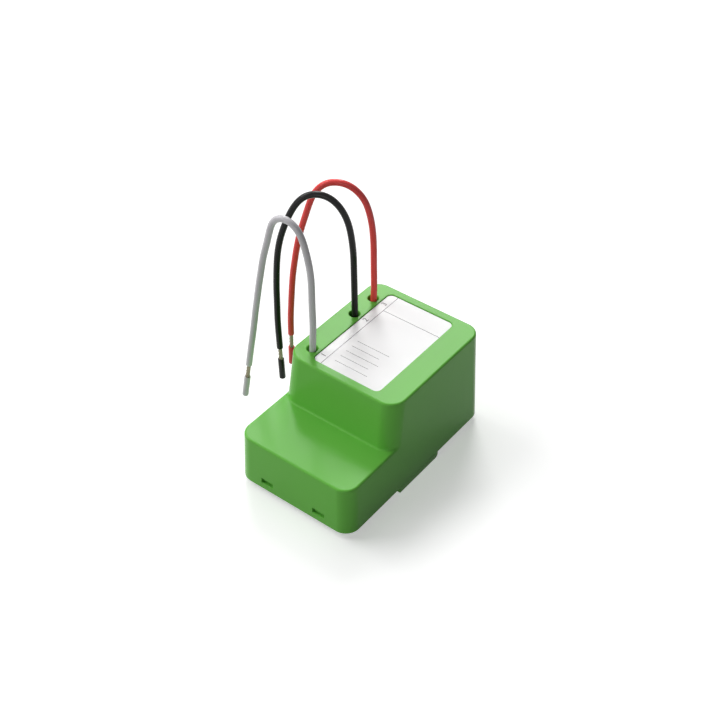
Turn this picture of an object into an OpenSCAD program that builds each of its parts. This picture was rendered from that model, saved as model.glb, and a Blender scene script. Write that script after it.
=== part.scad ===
// Smart dimmer module: a stepped, moulded housing with a snap-in base, a power board, a radio
// board above it, and three flying leads whose end sleeves pull off the bare strands.
// The origin is under the middle of the module, on the surface that its foot stands on.
// +X runs across the module, +Y from the low front to the tall rear, +Z up.

/* [Housing] */
// Width of the housing across its bottom rim
housing_w = 50; // [49.5:0.5:56]
// Length of the housing along its bottom rim, front to back
housing_l = 80.5; // [80:0.5:90]
// Height of the low front part above the rim
ledge_h = 20.2; // [19:0.1:24]
// Height of the tall rear part above the rim
top_h = 39.3; // [39:0.1:46]
// Distance from the front wall to the foot of the step face
step_y = 24.1; // [23:0.1:25.5]
// How far the step face leans back between the ledge and the top
step_lean = 2.9; // [1.5:0.1:3.2]
// Draft angle of the outer walls
draft = 1.85; // [1:0.05:2.2]
// Radius of the upright corners
corner_r = 5.7; // [4.6:0.1:7]
// Radius of the upright corners at the two ends of the step face
step_corner_r = 6.4; // [5:0.1:8]
// Radius of the upper edges
edge_r = 0.8; // [0.4:0.1:1.2]
// Radius of the fillet along the foot of the step
fillet_r = 0.8; // [0.4:0.1:1.2]
// Thickness of the side walls
wall = 1.8; // [1.4:0.1:2.1]
// Thickness of the ledge and of the roof
roof = 2.2; // [1.8:0.1:2.6]

/* [Snap windows and hooks] */
// Distance of each window from the middle of the housing
window_x = 11.5; // [9:0.5:14]
// Width of a window
window_w = 5.1; // [4:0.1:7]
// Height of a window
window_h = 2.2; // [1.8:0.1:2.8]
// Height of a window's middle above the rim
window_z = 3.7; // [3.3:0.1:3.9]
// Thickness of a hook's arm
hook_t = 1.2; // [0.9:0.1:1.5]
// How far a hook's barb reaches into its window
hook_reach = 1; // [0.6:0.1:1.2]

/* [Base cover] */
// Thickness of the cover plate
cover_t = 2; // [1.6:0.1:2.2]
// Height of the foot pad below the rim
foot_h = 2.4; // [1.5:0.1:4]
// Distance from the front wall to the foot pad
foot_y = 29.5; // [28:0.5:34]
// Length of the foot pad along the housing
foot_l = 23; // [20:0.5:30]
// Radius of the foot pad's rear lower edge
foot_r = 1.4; // [0.5:0.1:1.4]
// Diameter of a board post
post_d = 4; // [3:0.1:5]
// Diameter of the locating pin on a board post
pin_d = 1.8; // [1.2:0.1:2.2]

/* [Label] */
// Distance from the row of lead holes to the recess for the label
label_left = 3.2; // [2.8:0.1:5]
// Distance from the right wall to the recess
label_right = 11; // [8:0.1:14]
// Distance from the foot of the step to the recess
label_front = 6.2; // [5:0.1:9]
// Distance from the rear wall to the recess
label_back = 4.6; // [3.5:0.1:10]
// Depth of the recess
label_depth = 0.6; // [0.3:0.05:0.8]
// Thickness of the label
label_t = 0.25; // [0.1:0.05:0.3]
// Corner radius of the recess
label_r = 2.2; // [1:0.1:4]

/* [Leads] */
// Distance from the left wall to the row of lead holes
lead_inset = 7.1; // [6.8:0.1:7.5]
// Distance from the foot of the step to the neutral lead's hole
neutral_front = 10.4; // [9.5:0.1:11]
// Distance from the rear wall to the load lead's hole
load_back = 10.7; // [10.5:0.1:12]
// Distance between the line and load leads' holes
lead_pitch = 11.2; // [9:0.1:13]
// Diameter of a lead hole
hole_d = 4; // [3.6:0.1:4.4]
// Outer diameter of the collar below a lead hole
collar_d = 6.8; // [6:0.1:7.2]
// Depth of the collar below the roof
collar_h = 3; // [2:0.1:4]
// Diameter over a lead's insulation
lead_d = 2.4; // [2:0.1:2.6]
// Diameter over the bare strands
strand_d = 1.6; // [1:0.1:1.7]
// Mean length of bare strands that shows before an end sleeve
bare_l = 6; // [4:0.5:8]
// Mean length of an end sleeve
sleeve_l = 9; // [6:0.5:12]

/* [Power board] */
// Height of the power board's underside above the rim
board_z = 7; // [6.8:0.1:7.5]
// Thickness of the power board
board_t = 1.6; // [1.2:0.1:1.8]
// Height of a power transistor's case
fet_h = 4.4; // [3.5:0.1:4.6]
// Thickness of the heat spreader
spreader_t = 1.5; // [1:0.1:1.6]
// Thickness of the thermal pad
thermal_pad_t = 0.5; // [0.3:0.1:0.6]
// Diameter of the fuse
fuse_d = 8.5; // [7:0.1:8.7]
// Height of the fuse
fuse_h = 6.5; // [5:0.1:7]
// Width of the film capacitor
film_w = 18; // [13:0.5:18]
// Depth of the film capacitor
film_d = 9; // [7:0.5:9]
// Height of the film capacitor
film_h = 15; // [11:0.5:16]
// Diameter of a bulk capacitor
bulk_d = 8; // [6.3:0.1:8]
// Height of a bulk capacitor
bulk_h = 14; // [11:0.5:16]
// Diameter of the surge varistor
varistor_d = 10; // [7:0.5:11]
// Thickness of the surge varistor
varistor_t = 4.2; // [3.5:0.1:4.5]
// Width of the transformer's core
core_w = 16; // [14:0.5:16]
// Height of the transformer's core
core_h = 12; // [11:0.5:14]
// Depth of the transformer's core
core_d = 5; // [4:0.1:5.2]
// Diameter of the filter choke
choke_d = 11; // [9:0.5:12]
// Height of the filter choke
choke_h = 13; // [10:0.5:15]

/* [Radio board] */
// Distance from the row of lead holes to the radio board
radio_left = 5.9; // [5:0.1:7]
// Distance from the foot of the step to the radio board
radio_front = 6; // [5.5:0.5:6.5]
// Thickness of the radio board
radio_t = 1.2; // [0.8:0.1:1.6]
// Gap between the two boards
boards_gap = 19; // [18:0.5:20]
// Diameter of a board spacer
spacer_d = 5; // [4:0.1:5.2]
// Number of pins in the board header
header_pins_n = 7; // [5:1:7]
// Length of the shield can
shield_l = 20; // [16:0.5:20]
// Width of the shield can
shield_w = 16; // [12:0.5:16]
// Height of the shield can
shield_h = 2.6; // [2:0.1:3]

/* [Clearances] */
// Gap between the cover plate and the housing walls
cover_gap = 0.15; // [0.1:0.01:0.2]
// Gap on each side of a hook in its window
hook_gap = 0.2; // [0.1:0.05:0.4]
// Gap between the power board and the housing walls
board_gap = 0.6; // [0.4:0.05:0.8]
// Gap between the power board and the ribs above it
rib_gap = 0.1; // [0.05:0.05:0.2]
// Gap around a locating pin in its board
pin_gap = 0.1; // [0.05:0.05:0.15]
// Gap between the label and the edge of its recess
label_gap = 0.15; // [0.1:0.05:0.3]
// Gap between an end sleeve's bore and the strands
sleeve_gap = 0.05; // [0.02:0.01:0.08]
// Gap between a lead and the edge of its hole that it leans on
lean_gap = 0.05; // [0.02:0.01:0.1]
// Gap between a lead and its terminal's cup
cup_gap = 0.05; // [0.03:0.01:0.1]

/* [Hidden] */
$fn = 48;

// Colours
green = [0.33, 0.62, 0.24];
board_green = [0.05, 0.32, 0.16];
tin = [0.75, 0.75, 0.74];
black_case = [0.09, 0.09, 0.10];
lead_colours = [[0.62, 0.62, 0.62], [0.08, 0.08, 0.08], [0.75, 0.12, 0.12]];

// Numbers that the shapes share
slope = tan(draft);
block_fn = 40;
skin = 0.01;
edge_steps = 3;
cut = 1;
hole_xs = -housing_w / 2 + lead_inset;
load_y = housing_l - load_back;
lead_ys = [step_y + neutral_front, load_y - lead_pitch, load_y];
lead_play = (hole_d - lead_d) / 2 - lean_gap;
lead_lean = lead_play * [0.77, -0.64];

// The label's recess fills the roof between its margins
label_edges = [
    [hole_xs + label_left, step_y + label_front],
    [housing_w / 2 - label_right, housing_l - label_back]
];
label_size = label_edges[1] - label_edges[0];
label_at = (label_edges[0] + label_edges[1]) / 2;

// The board follows the cavity, which follows the walls
function inner_half_w(z) = housing_w / 2 - wall - z * slope;
board_top = board_z + board_t;
board_half_w = inner_half_w(board_top) - board_gap;
board_front = wall + board_top * slope + board_gap;
board_back = housing_l - board_front;
post_inset = 5;
post_ys = [board_front + post_inset, board_back - post_inset + 0.8];
post_x = board_half_w - post_inset;
pin_proud = 0.3;
rib_w = 1.2;
rib_reach = 2;
rib_ys = [20, 55];
part_gap = 0.5;
edge_gap = 0.33;
chip_gap = 1.5;

// The radio board stands on the spacers and the header
radio_z = board_top + boards_gap;
radio_top = radio_z + radio_t;
radio_edges = [
    [hole_xs + radio_left, step_y + radio_front],
    [board_half_w - rib_reach - edge_gap, board_back - 2.3]
];
radio_size = radio_edges[1] - radio_edges[0];
radio_at = (radio_edges[0] + radio_edges[1]) / 2;
spacer_inset = spacer_d / 2 + 0.1;
spacer_xs = [radio_edges[0][0] + spacer_inset, radio_edges[1][0] - spacer_inset];
spacer_y = radio_edges[0][1] + 3;
header_pitch = 2.54;
header_at = [4, radio_edges[1][1] - 2.5];
header_body_h = 2.5;
header_pin_w = 0.64;

// Sizes of the small cased parts: across, along, up
bridge_size = [6.5, 8, 2.8];
supply_size = [4.9, 3.9, 1.7];
gate_size = [4.6, 6.8, 2.2];
shunt_size = [3.2, 6.4, 0.75];
control_size = [7, 7, 0.9];
crystal_size = [5, 11.4, 3.2];
antenna_size = [17, 3.4, 4];
terminal_foot = 4;

// Rows of parts along the power board
front_row = 14;
choke_row = 34;
gate_row = 42.5;
bulk_row = 44.8;
rear_row = 46;
film_inset = 13.2;
supply_inset = 4.3;

// Places on the power board, each from the board's edge or from its neighbour
fets_x = [-9, 4];
fets_y = front_row;
fuse_at = [board_half_w - fuse_d / 2 - edge_gap, front_row + 2 * part_gap];
shunt_at = [shunt_size[0] / 2 + part_gap - board_half_w, front_row];
choke_at = [spacer_xs[0] + spacer_d / 2 + part_gap + choke_d / 2, choke_row];
varistor_at = [choke_at[0] + choke_d / 2 + part_gap + varistor_t / 2, choke_row - part_gap];
bulk_x = hole_xs + (terminal_foot + bulk_d) / 2 + chip_gap - edge_gap;
bulk_ys = [bulk_row, bulk_row + bulk_d + part_gap];
bridge_at = [bulk_x + (bulk_d + bridge_size[0]) / 2 + part_gap, rear_row + part_gap];
transformer_at = [bridge_at[0] + (bridge_size[0] + core_w) / 2 + part_gap, rear_row];
film_at = [board_half_w - rib_reach - edge_gap - film_w / 2, board_back - film_inset];
gate_at = [hole_xs, gate_row];
supply_at = [-8, board_back - supply_inset];

// Places on the radio board
antenna_at = [radio_at[0], spacer_y + spacer_d / 2 + part_gap];
control_at = [
    radio_edges[0][0] + chip_gap + control_size[0] / 2,
    antenna_at[1] + (antenna_size[1] + control_size[1]) / 2 + chip_gap
];
crystal_at = [
    control_at[0],
    control_at[1] + (control_size[1] + crystal_size[1]) / 2 + chip_gap
];
shield_at = [
    radio_edges[1][0] - shield_w / 2 - 2 * part_gap,
    antenna_at[1] + (antenna_size[1] + shield_l) / 2 + chip_gap
];

// Each free lead: how far its bare stretch and its sleeve differ from the mean, the way it heads,
// and its route as distance out from the hole and height above the roof
bare_more = [0.4, -0.5, 0.4];
sleeve_more = [1, 0.2, -1];
lead_heading = [186, 212, 210];
lead_routes = [
    [[0, 0], [-0.2, 5.4], [-0.4, 11.3], [-0.3, 17.9], [-0.3, 24.7], [-0.2, 30.7], [0.4, 36.5],
        [1.6, 42.2], [3.1, 47.1], [4.7, 49.8], [6.5, 51.3], [8.6, 52.1], [10.7, 52],
        [12.7, 51.1], [14.2, 49.4], [15.5, 46.2], [17.2, 39.8], [19, 33.2], [20.3, 27],
        [21.6, 20.3], [22.8, 13.5], [24, 6.7], [25.1, -0.2], [26.3, -7.1], [27.5, -13.8],
        [28.6, -20.3]],
    [[0, 0], [0.1, 7], [0.2, 14.2], [0.3, 21.1], [0.5, 27.8], [1.1, 34.2], [2.1, 39.8],
        [3.7, 44.3], [5.8, 47.7], [8.2, 50], [10.9, 51.2], [13.4, 51.4], [15.8, 50.8],
        [18.2, 49.1], [20.6, 45.9], [22.9, 41.1], [25, 35.3], [26.4, 29.8], [27.3, 23.7],
        [27.8, 17], [28.1, 10.1], [28.2, 3.1], [28.3, -4.1], [28.2, -11], [28, -18]],
    [[0, 0], [-0.1, 6.7], [0, 13.6], [0.1, 20.6], [0.3, 27.4], [0.9, 33.7], [2, 39.2],
        [3.5, 43.4], [5.7, 46.5], [8.3, 48.7], [11.2, 49.8], [14, 49.9], [16.6, 49.2],
        [19, 47.4], [21.1, 44.5], [22.8, 40.2], [24.6, 34.1], [26.3, 28], [27.7, 21.5],
        [28.8, 14.7], [29.7, 8], [30.3, 1.2], [30.8, -5.9], [31.2, -13], [31.3, -20]]
];
lead_sides = 8;

// The front wall's foot is y = 0 and the rim is z = 0 for everything below
module in_housing()
{
    translate([0, -housing_l / 2, foot_h]) children();
}

// Stands a piece on the power board
module on_board(at)
{
    translate([at[0], at[1], board_top]) children();
}

// Stands a piece on the radio board
module on_radio(at)
{
    translate([at[0], at[1], radio_top]) children();
}

// A rectangle about the origin with round corners
module round_rectangle(w, l, r)
{
    square([w - 2 * r, l], center = true);
    square([w, l - 2 * r], center = true);
    for (x = [-1, 1], y = [-1, 1])
        translate([x * (w / 2 - r), y * (l / 2 - r)]) circle(r);
}

// A rectangular chip or block about the origin, standing on z = 0
module block(w, l, h)
{
    translate([-w / 2, -l / 2, 0]) cube([w, l, h]);
}

// Moulded forms of the housing

// Distance from the middle to the axis of a corner of radius r, which leans in with the draft
function corner_x(r, z) = housing_w / 2 - r - z * slope;

// Place of the leaning step face at height z
function step_face(z) = step_y + (z - ledge_h) * step_lean / (top_h - ledge_h);

// One leaning corner of a block: a disc at its foot and a rounded stack at its top
module corner_ends(side, r, y_low, y_high, z_low, z_high, inset, edge)
{
    shoulder = z_high - edge;
    round_r = r - inset;
    translate([side * corner_x(r, z_low + skin), y_low, z_low])
        cylinder(h = skin, r = round_r, $fn = block_fn);
    for (i = [0:edge_steps - 1])
    {
        a = 90 * i / edge_steps;
        b = 90 * (i + 1) / edge_steps;
        translate([side * corner_x(r, shoulder), y_high, shoulder + edge * sin(a)])
            cylinder(h = edge * (sin(b) - sin(a)), r1 = round_r - edge * (1 - cos(a)),
                r2 = round_r - edge * (1 - cos(b)), $fn = block_fn);
    }
}

// The two rear corners of a block
module rear_corners(z_low, z_high, inset, edge)
{
    for (side = [-1, 1])
        corner_ends(side, corner_r, housing_l - corner_r - (z_low + skin) * slope,
            housing_l - corner_r - (z_high - edge) * slope, z_low, z_high, inset, edge);
}

// The full-length low block, or its cavity when it is inset
module low_block(z_low, z_high, inset, edge)
{
    hull()
    {
        rear_corners(z_low, z_high, inset, edge);
        for (side = [-1, 1])
            corner_ends(side, corner_r, corner_r + (z_low + skin) * slope,
                corner_r + (z_high - edge) * slope, z_low, z_high, inset, edge);
    }
}

// The tall block behind the step, or its cavity when it is inset
module tall_block(z_low, z_high, inset, edge)
{
    hull()
    {
        rear_corners(z_low, z_high, inset, edge);
        for (side = [-1, 1])
            corner_ends(side, step_corner_r, step_face(z_low + skin) + step_corner_r,
                step_face(z_high - edge) + step_corner_r, z_low, z_high, inset, edge);
    }
}

// Fillet that runs along the foot of the step and dies out at the side walls
module step_fillet()
{
    hair = 0.02;
    foot_z = ledge_h - edge_r;
    for (k = [0:edge_steps - 1])
        hull()
            for (side = [-1, 1], j = [k, k + 1])
            {
                a = 90 * j / edge_steps;
                z = ledge_h + fillet_r * (1 - cos(a));
                out = (fillet_r + hair) * (1 - sin(a)) - hair;
                translate([side * (corner_x(step_corner_r, z) - out - hair),
                    step_face(z) + step_corner_r, j == k ? foot_z : z - skin])
                    cylinder(h = j == k ? z - foot_z : skin, r = step_corner_r + out,
                        $fn = block_fn);
            }
}

// Ribs on the side walls that keep the power board down on its posts
module board_ribs()
{
    for (side = [-1, 1], y = rib_ys)
    {
        roof_z = y < step_y ? ledge_h : top_h;
        inner = board_half_w - rib_reach;
        translate([side > 0 ? inner : -housing_w / 2, y - rib_w / 2, board_top + rib_gap])
            cube([housing_w / 2 - inner, rib_w, roof_z - board_top]);
    }
}

// Places each child at the three lead holes
module at_lead_holes()
{
    for (y = lead_ys) translate([hole_xs, y, 0]) children();
}

module window_cutters()
{
    for (x = [-window_x, window_x], y = [-cut, housing_l - wall - cut])
        translate([x - window_w / 2, y, window_z - window_h / 2])
            cube([window_w, wall + 2 * cut, window_h]);
}

// Joins blocks whose sides lie flush into one skin, with no change of size
module one_skin()
{
    resize([0, 0, 0]) union() children();
}

module housing_shell()
{
    color(green) in_housing() difference()
    {
        one_skin()
        {
            low_block(0, ledge_h, 0, edge_r);
            tall_block(0, top_h, 0, edge_r);
            step_fillet();
        }
        difference()
        {
            one_skin()
            {
                low_block(-cut, ledge_h - roof, wall, edge_r / 2);
                tall_block(-cut, top_h - roof, wall, edge_r / 2);
            }
            board_ribs();
            at_lead_holes()
                translate([0, 0, top_h - roof - collar_h]) cylinder(h = top_h, d = collar_d);
        }
        window_cutters();
        at_lead_holes()
            translate([0, 0, top_h - roof - collar_h - cut]) cylinder(h = top_h, d = hole_d);
        translate([label_at[0], label_at[1], top_h - label_depth])
            linear_extrude(label_depth + cut)
                round_rectangle(label_size[0], label_size[1], label_r);
    }
}

// One snap hook, its back towards +Y, standing on the cover plate beside the wall at y = 0
module snap_hook()
{
    foot = cover_t / 2;
    catch_z = window_z - window_h / 2 + hook_gap;
    tip_z = window_z + window_h / 2 + hook_gap;
    barb_t = 0.5;
    translate([-window_w / 2 + hook_gap, 0, 0])
        rotate([90, 0, 90])
            linear_extrude(window_w - 2 * hook_gap)
                polygon([
                    [hook_t, foot], [0, foot], [0, catch_z], [-hook_reach, catch_z],
                    [-hook_reach, catch_z + barb_t], [0, tip_z - hook_gap],
                    [0, tip_z], [hook_t / 3, tip_z + hook_t / 3], [hook_t, tip_z + hook_t / 3]
                ]);
}

module base_cover()
{
    plate_inset = wall + cover_gap + cover_t * slope;
    arm_y = wall + (window_z + window_h) * slope + cover_gap;
    color(green) in_housing() union()
    {
        // Plate that fills the bottom of the housing
        translate([0, housing_l / 2, 0])
            linear_extrude(cover_t)
                round_rectangle(housing_w - 2 * plate_inset, housing_l - 2 * plate_inset,
                    corner_r - plate_inset);
        // Foot pad, as wide as the housing, with a round rear edge
        translate([-housing_w / 2, foot_y, 0])
            rotate([90, 0, 90])
                linear_extrude(housing_w)
                    intersection()
                    {
                        union()
                        {
                            translate([0, -foot_h]) square([foot_l - foot_r, foot_h]);
                            translate([0, foot_r - foot_h]) square([foot_l, foot_h]);
                            translate([foot_l - foot_r, foot_r - foot_h]) circle(foot_r);
                        }
                        translate([0, -foot_h]) square([foot_l, foot_h]);
                    }
        // Hooks that catch in the windows
        for (x = [-window_x, window_x])
        {
            translate([x, arm_y, 0]) snap_hook();
            translate([x, housing_l - arm_y, 0]) mirror([0, 1, 0]) snap_hook();
        }
        // Posts that carry the power board, each with its locating pin
        for (side = [-1, 1], y = post_ys)
            translate([side * post_x, y, cover_t / 2])
            {
                cylinder(h = board_z - cover_t / 2, d = post_d);
                cylinder(h = board_top + pin_proud - cover_t / 2, d = pin_d);
            }
    }
}

module label_sheet()
{
    color("white") in_housing()
        translate([label_at[0], label_at[1], top_h - label_depth])
            linear_extrude(label_t)
                round_rectangle(label_size[0] - 2 * label_gap, label_size[1] - 2 * label_gap,
                    label_r - label_gap);
}

// Pieces on the power board

module power_board()
{
    spacer_pin = spacer_d / 2;
    color(board_green) in_housing() difference()
    {
        translate([0, housing_l / 2, board_z])
            linear_extrude(board_t)
                round_rectangle(2 * board_half_w, board_back - board_front,
                    corner_r - wall - board_gap);
        for (side = [-1, 1], y = post_ys)
            translate([side * post_x, y, board_z - cut])
                cylinder(h = board_t + 2 * cut, d = pin_d + 2 * pin_gap);
        for (x = spacer_xs)
            translate([x, spacer_y, board_z - cut])
                cylinder(h = board_t + 2 * cut, d = spacer_pin + 2 * pin_gap);
    }
}

// Case with sloped sides, its metal tab behind it and its three bent legs in front
module power_transistor()
{
    case_w = fet_w;
    case_l = 8.6;
    foot_w = 1.1;
    bevel = 0.6;
    rotate([90, 0, 90])
        translate([0, 0, -case_w / 2])
            linear_extrude(case_w)
                polygon([
                    [-case_l / 2, 0.2], [case_l / 2, 0.2], [case_l / 2, fet_h * 0.6],
                    [case_l / 2 - bevel, fet_h], [bevel - case_l / 2, fet_h],
                    [-case_l / 2, fet_h * 0.6]
                ]);
    translate([0, case_l / 2 + 0.4, 0]) block(case_w, 2.4, 1.3);
    for (x = [-header_pitch, header_pitch])
        translate([x - foot_w / 2, -case_l / 2, 0])
            rotate([90, 0, 90])
                linear_extrude(foot_w)
                    polygon([
                        [0.3, 2.6], [0.3, 2.1], [-0.9, 2.1], [-1.5, 0.5], [-1.5, 0], [-3.4, 0],
                        [-3.4, 0.5], [-2, 0.5], [-1.3, 2.6]
                    ]);
}

module power_transistors()
{
    color(black_case) in_housing()
        for (x = fets_x) on_board([x, fets_y]) power_transistor();
}

fet_w = 10;
spreader_play = 0.4;
spreader_w = fets_x[1] - fets_x[0] + fet_w + 2 * (spreader_t + spreader_play);
spreader_x = (fets_x[0] + fets_x[1]) / 2;
spreader_l = 8;

module thermal_pad()
{
    margin = 1;
    color([0.55, 0.6, 0.75]) in_housing()
        on_board([spreader_x, fets_y])
            translate([0, 0, fet_h])
                block(spreader_w - 2 * margin - 2 * spreader_t, spreader_l - 1.5, thermal_pad_t);
}

// Sheet folded into a table over the transistors, with its two ends down on the board
module heat_spreader()
{
    under = fet_h + thermal_pad_t;
    bend = 2.4;
    color([0.8, 0.81, 0.83]) in_housing()
        on_board([spreader_x, fets_y])
            rotate([90, 0, 0])
                translate([0, 0, -spreader_l / 2])
                    linear_extrude(spreader_l)
                        difference()
                        {
                            union()
                            {
                                translate([-spreader_w / 2, 0])
                                    square([spreader_w, under + spreader_t - bend]);
                                translate([bend - spreader_w / 2, 0])
                                    square([spreader_w - 2 * bend, under + spreader_t]);
                                for (side = [-1, 1])
                                    translate([side * (spreader_w / 2 - bend),
                                        under + spreader_t - bend]) circle(bend);
                            }
                            translate([spreader_t - spreader_w / 2, -cut])
                                square([spreader_w - 2 * spreader_t, under + cut]);
                        }
}

module fuse()
{
    rim = 0.6;
    color([0.45, 0.28, 0.18]) in_housing()
        on_board(fuse_at)
            rotate_extrude()
                polygon([
                    [0, 0], [fuse_d / 2 - rim, 0], [fuse_d / 2, rim], [fuse_d / 2, fuse_h - rim],
                    [fuse_d / 2 - rim, fuse_h], [0, fuse_h]
                ]);
}

// Disc on edge, its rim rounded by the dipped coating, on two wires
module surge_varistor()
{
    wire_d = 0.8;
    lift = 1.5;
    rim = varistor_t / 2;
    color([0.12, 0.3, 0.62]) in_housing()
        on_board(varistor_at)
        {
            translate([0, 0, lift + varistor_d / 2])
                rotate([0, 90, 0])
                    rotate_extrude()
                    {
                        translate([0, -rim]) square([varistor_d / 2 - rim, varistor_t]);
                        intersection()
                        {
                            translate([varistor_d / 2 - rim, 0]) circle(rim);
                            translate([0, -rim]) square([varistor_d, varistor_t]);
                        }
                    }
            for (side = [-1, 1])
                translate([0, side * varistor_d / 4, 0])
                    cylinder(h = lift + varistor_d / 4, d = wire_d, $fn = 24);
        }
}

module film_capacitor()
{
    stand = 0.6;
    foot = 2;
    color([0.82, 0.72, 0.25]) in_housing()
        on_board(film_at)
        {
            translate([0, 0, stand]) linear_extrude(film_h - stand)
                round_rectangle(film_w, film_d, 0.8);
            for (x = [-1, 1])
                translate([x * (film_w - foot) / 2, 0, 0]) block(foot, film_d - foot, film_h / 2);
        }
}

choke_flange = 1.4;
choke_waist = choke_d * 0.5;

module choke_core()
{
    color([0.16, 0.16, 0.17]) in_housing()
        on_board(choke_at)
        {
            cylinder(h = choke_flange, d = choke_d);
            cylinder(h = choke_h, d = choke_waist);
            translate([0, 0, choke_h - choke_flange]) cylinder(h = choke_flange, d = choke_d);
        }
}

// A layer of wire turns, drawn as one scalloped sleeve
module wire_layer(inner_d, outer_d, length, wire)
{
    turns = floor(length / wire);
    pitch = length / turns;
    rotate_extrude()
    {
        translate([inner_d / 2, 0]) square([(outer_d - inner_d - wire) / 2, length]);
        for (i = [0:turns - 1])
            translate([(outer_d - wire) / 2, pitch * (i + 0.5)]) circle(d = pitch, $fn = 16);
    }
}

module choke_winding()
{
    color([0.72, 0.38, 0.16]) in_housing()
        on_board(choke_at)
            translate([0, 0, choke_flange])
                wire_layer(choke_waist, choke_d - 1, choke_h - 2 * choke_flange, 0.9);
}

// The transformer: an E core from each side round a bobbin on end flanges
core_leg = core_w / 5;
core_back = core_h / 5;
bobbin_t = 0.8;
bobbin_lift = 3;
window_l = core_w / 2 - core_leg * 1.5;

module transformer_core()
{
    inner_h = core_h - 2 * core_back;
    color([0.2, 0.2, 0.21]) in_housing()
        on_board(transformer_at)
            translate([0, 0, bobbin_lift])
                rotate([90, 0, 0])
                    translate([0, 0, -core_d / 2])
                        linear_extrude(core_d)
                            difference()
                            {
                                translate([-core_w / 2, 0]) square([core_w, core_h]);
                                for (side = [-1, 1])
                                    translate([side * (core_leg + window_l) / 2 - window_l / 2,
                                        core_back]) square([window_l, inner_h]);
                            }
}

module transformer_bobbin()
{
    inner_h = core_h - 2 * core_back;
    flange_w = core_leg + 2 * window_l - 2 * bobbin_t;
    flange_d = core_d + 2 * window_l;
    tube_w = core_leg + 2 * bobbin_t;
    tube_d = core_d + 2 * bobbin_t;
    pin_l = 3.5;
    color([0.1, 0.1, 0.11]) in_housing()
        on_board(transformer_at)
        {
            translate([0, 0, bobbin_lift + core_back]) difference()
            {
                union()
                {
                    block(tube_w, tube_d, inner_h);
                    block(flange_w, flange_d, bobbin_t);
                    translate([0, 0, inner_h - bobbin_t]) block(flange_w, flange_d, bobbin_t);
                }
                translate([0, 0, -cut]) block(core_leg, core_d, inner_h + 2 * cut);
            }
            // Pin rails on both sides of the core, down to the board
            for (side = [-1, 1])
                translate([0, side * (flange_d / 2 - bobbin_t), 0])
                {
                    translate([0, 0, 0.8])
                        block(core_w - 2, 2 * bobbin_t, bobbin_lift + core_back);
                    for (i = [-2:2])
                        translate([i * header_pitch, 0, 0])
                            cylinder(h = pin_l, d = 0.9, $fn = 16);
                }
        }
}

module transformer_winding()
{
    inner_h = core_h - 2 * core_back;
    length = inner_h - 2 * bobbin_t;
    tube_w = core_leg + 2 * bobbin_t;
    tube_d = core_d + 2 * bobbin_t;
    build_up = window_l - bobbin_t * 2.2;
    color([0.86, 0.75, 0.3]) in_housing()
        on_board(transformer_at)
            translate([0, 0, bobbin_lift + core_back + bobbin_t])
                linear_extrude(length)
                    difference()
                    {
                        round_rectangle(tube_w + 2 * build_up, tube_d + 2 * build_up, build_up);
                        square([tube_w, tube_d], center = true);
                    }
}

// Aluminium can with its crimp groove and its sleeve turned over the top edge
module bulk_capacitors()
{
    r = bulk_d / 2;
    groove_z = 1.8;
    groove = 0.35;
    color([0.16, 0.2, 0.42]) in_housing()
        for (y = bulk_ys)
            on_board([bulk_x, y])
                rotate_extrude()
                    polygon([
                        [0, 0], [r - 0.4, 0], [r, 0.4], [r, groove_z - groove],
                        [r - groove, groove_z], [r, groove_z + groove], [r, bulk_h - 0.5],
                        [r - 0.5, bulk_h], [r - 1, bulk_h], [r - 1.1, bulk_h - 0.3],
                        [0, bulk_h - 0.3]
                    ]);
}

// A case with rows of bent legs along both long sides
module leaded_chip(size, legs, pitch, leg_w, reach)
{
    stand = 0.15;
    l = size[1];
    h = size[2];
    translate([0, 0, stand]) block(size[0], l, h - stand);
    for (side = [-1, 1], i = [0:legs - 1])
        translate([(i - (legs - 1) / 2) * pitch - leg_w / 2, 0, 0])
            rotate([90, 0, 90])
                linear_extrude(leg_w)
                    polygon([
                        [side * (l / 2 - 0.1), h * 0.5], [side * (l / 2 + reach / 3), h * 0.5],
                        [side * (l / 2 + reach * 2 / 3), 0.2], [side * (l / 2 + reach), 0.2],
                        [side * (l / 2 + reach), 0], [side * (l / 2 + reach / 2), 0],
                        [side * (l / 2 + reach / 6), h * 0.35], [side * (l / 2 - 0.1), h * 0.35]
                    ]);
}

module bridge_rectifier()
{
    color(black_case) in_housing()
        on_board(bridge_at) leaded_chip(bridge_size, 2, 5, 1.2, 1.4);
}

module supply_chip()
{
    color(black_case) in_housing()
        on_board(supply_at) leaded_chip(supply_size, 4, 1.27, 0.45, 1);
}

module gate_driver()
{
    color([0.13, 0.13, 0.14]) in_housing()
        on_board(gate_at) leaded_chip(gate_size, 2, header_pitch, 0.5, 1.3);
}

module current_shunt()
{
    end_w = 1;
    color([0.2, 0.2, 0.2]) in_housing()
        on_board(shunt_at)
        {
            block(shunt_size[0] - 0.2, shunt_size[1], shunt_size[2] - 0.15);
            for (side = [-1, 1])
                translate([0, side * (shunt_size[1] - end_w) / 2, 0])
                    block(shunt_size[0], end_w, shunt_size[2]);
        }
}

// Solder cups that take the lead ends, on square feet
cup_base = 0.8;
cup_h = 4;
cup_wall = 0.6;

module wire_terminals()
{
    bore = lead_d + 2 * cup_gap;
    color([0.8, 0.68, 0.35]) in_housing()
        for (i = [0:2])
            on_board([hole_xs, lead_ys[i]] + lead_lean)
            {
                block(terminal_foot, terminal_foot, cup_base);
                difference()
                {
                    cylinder(h = cup_h, d = bore + 2 * cup_wall);
                    translate([0, 0, cup_base]) cylinder(h = cup_h, d = bore);
                }
            }
}

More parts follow.
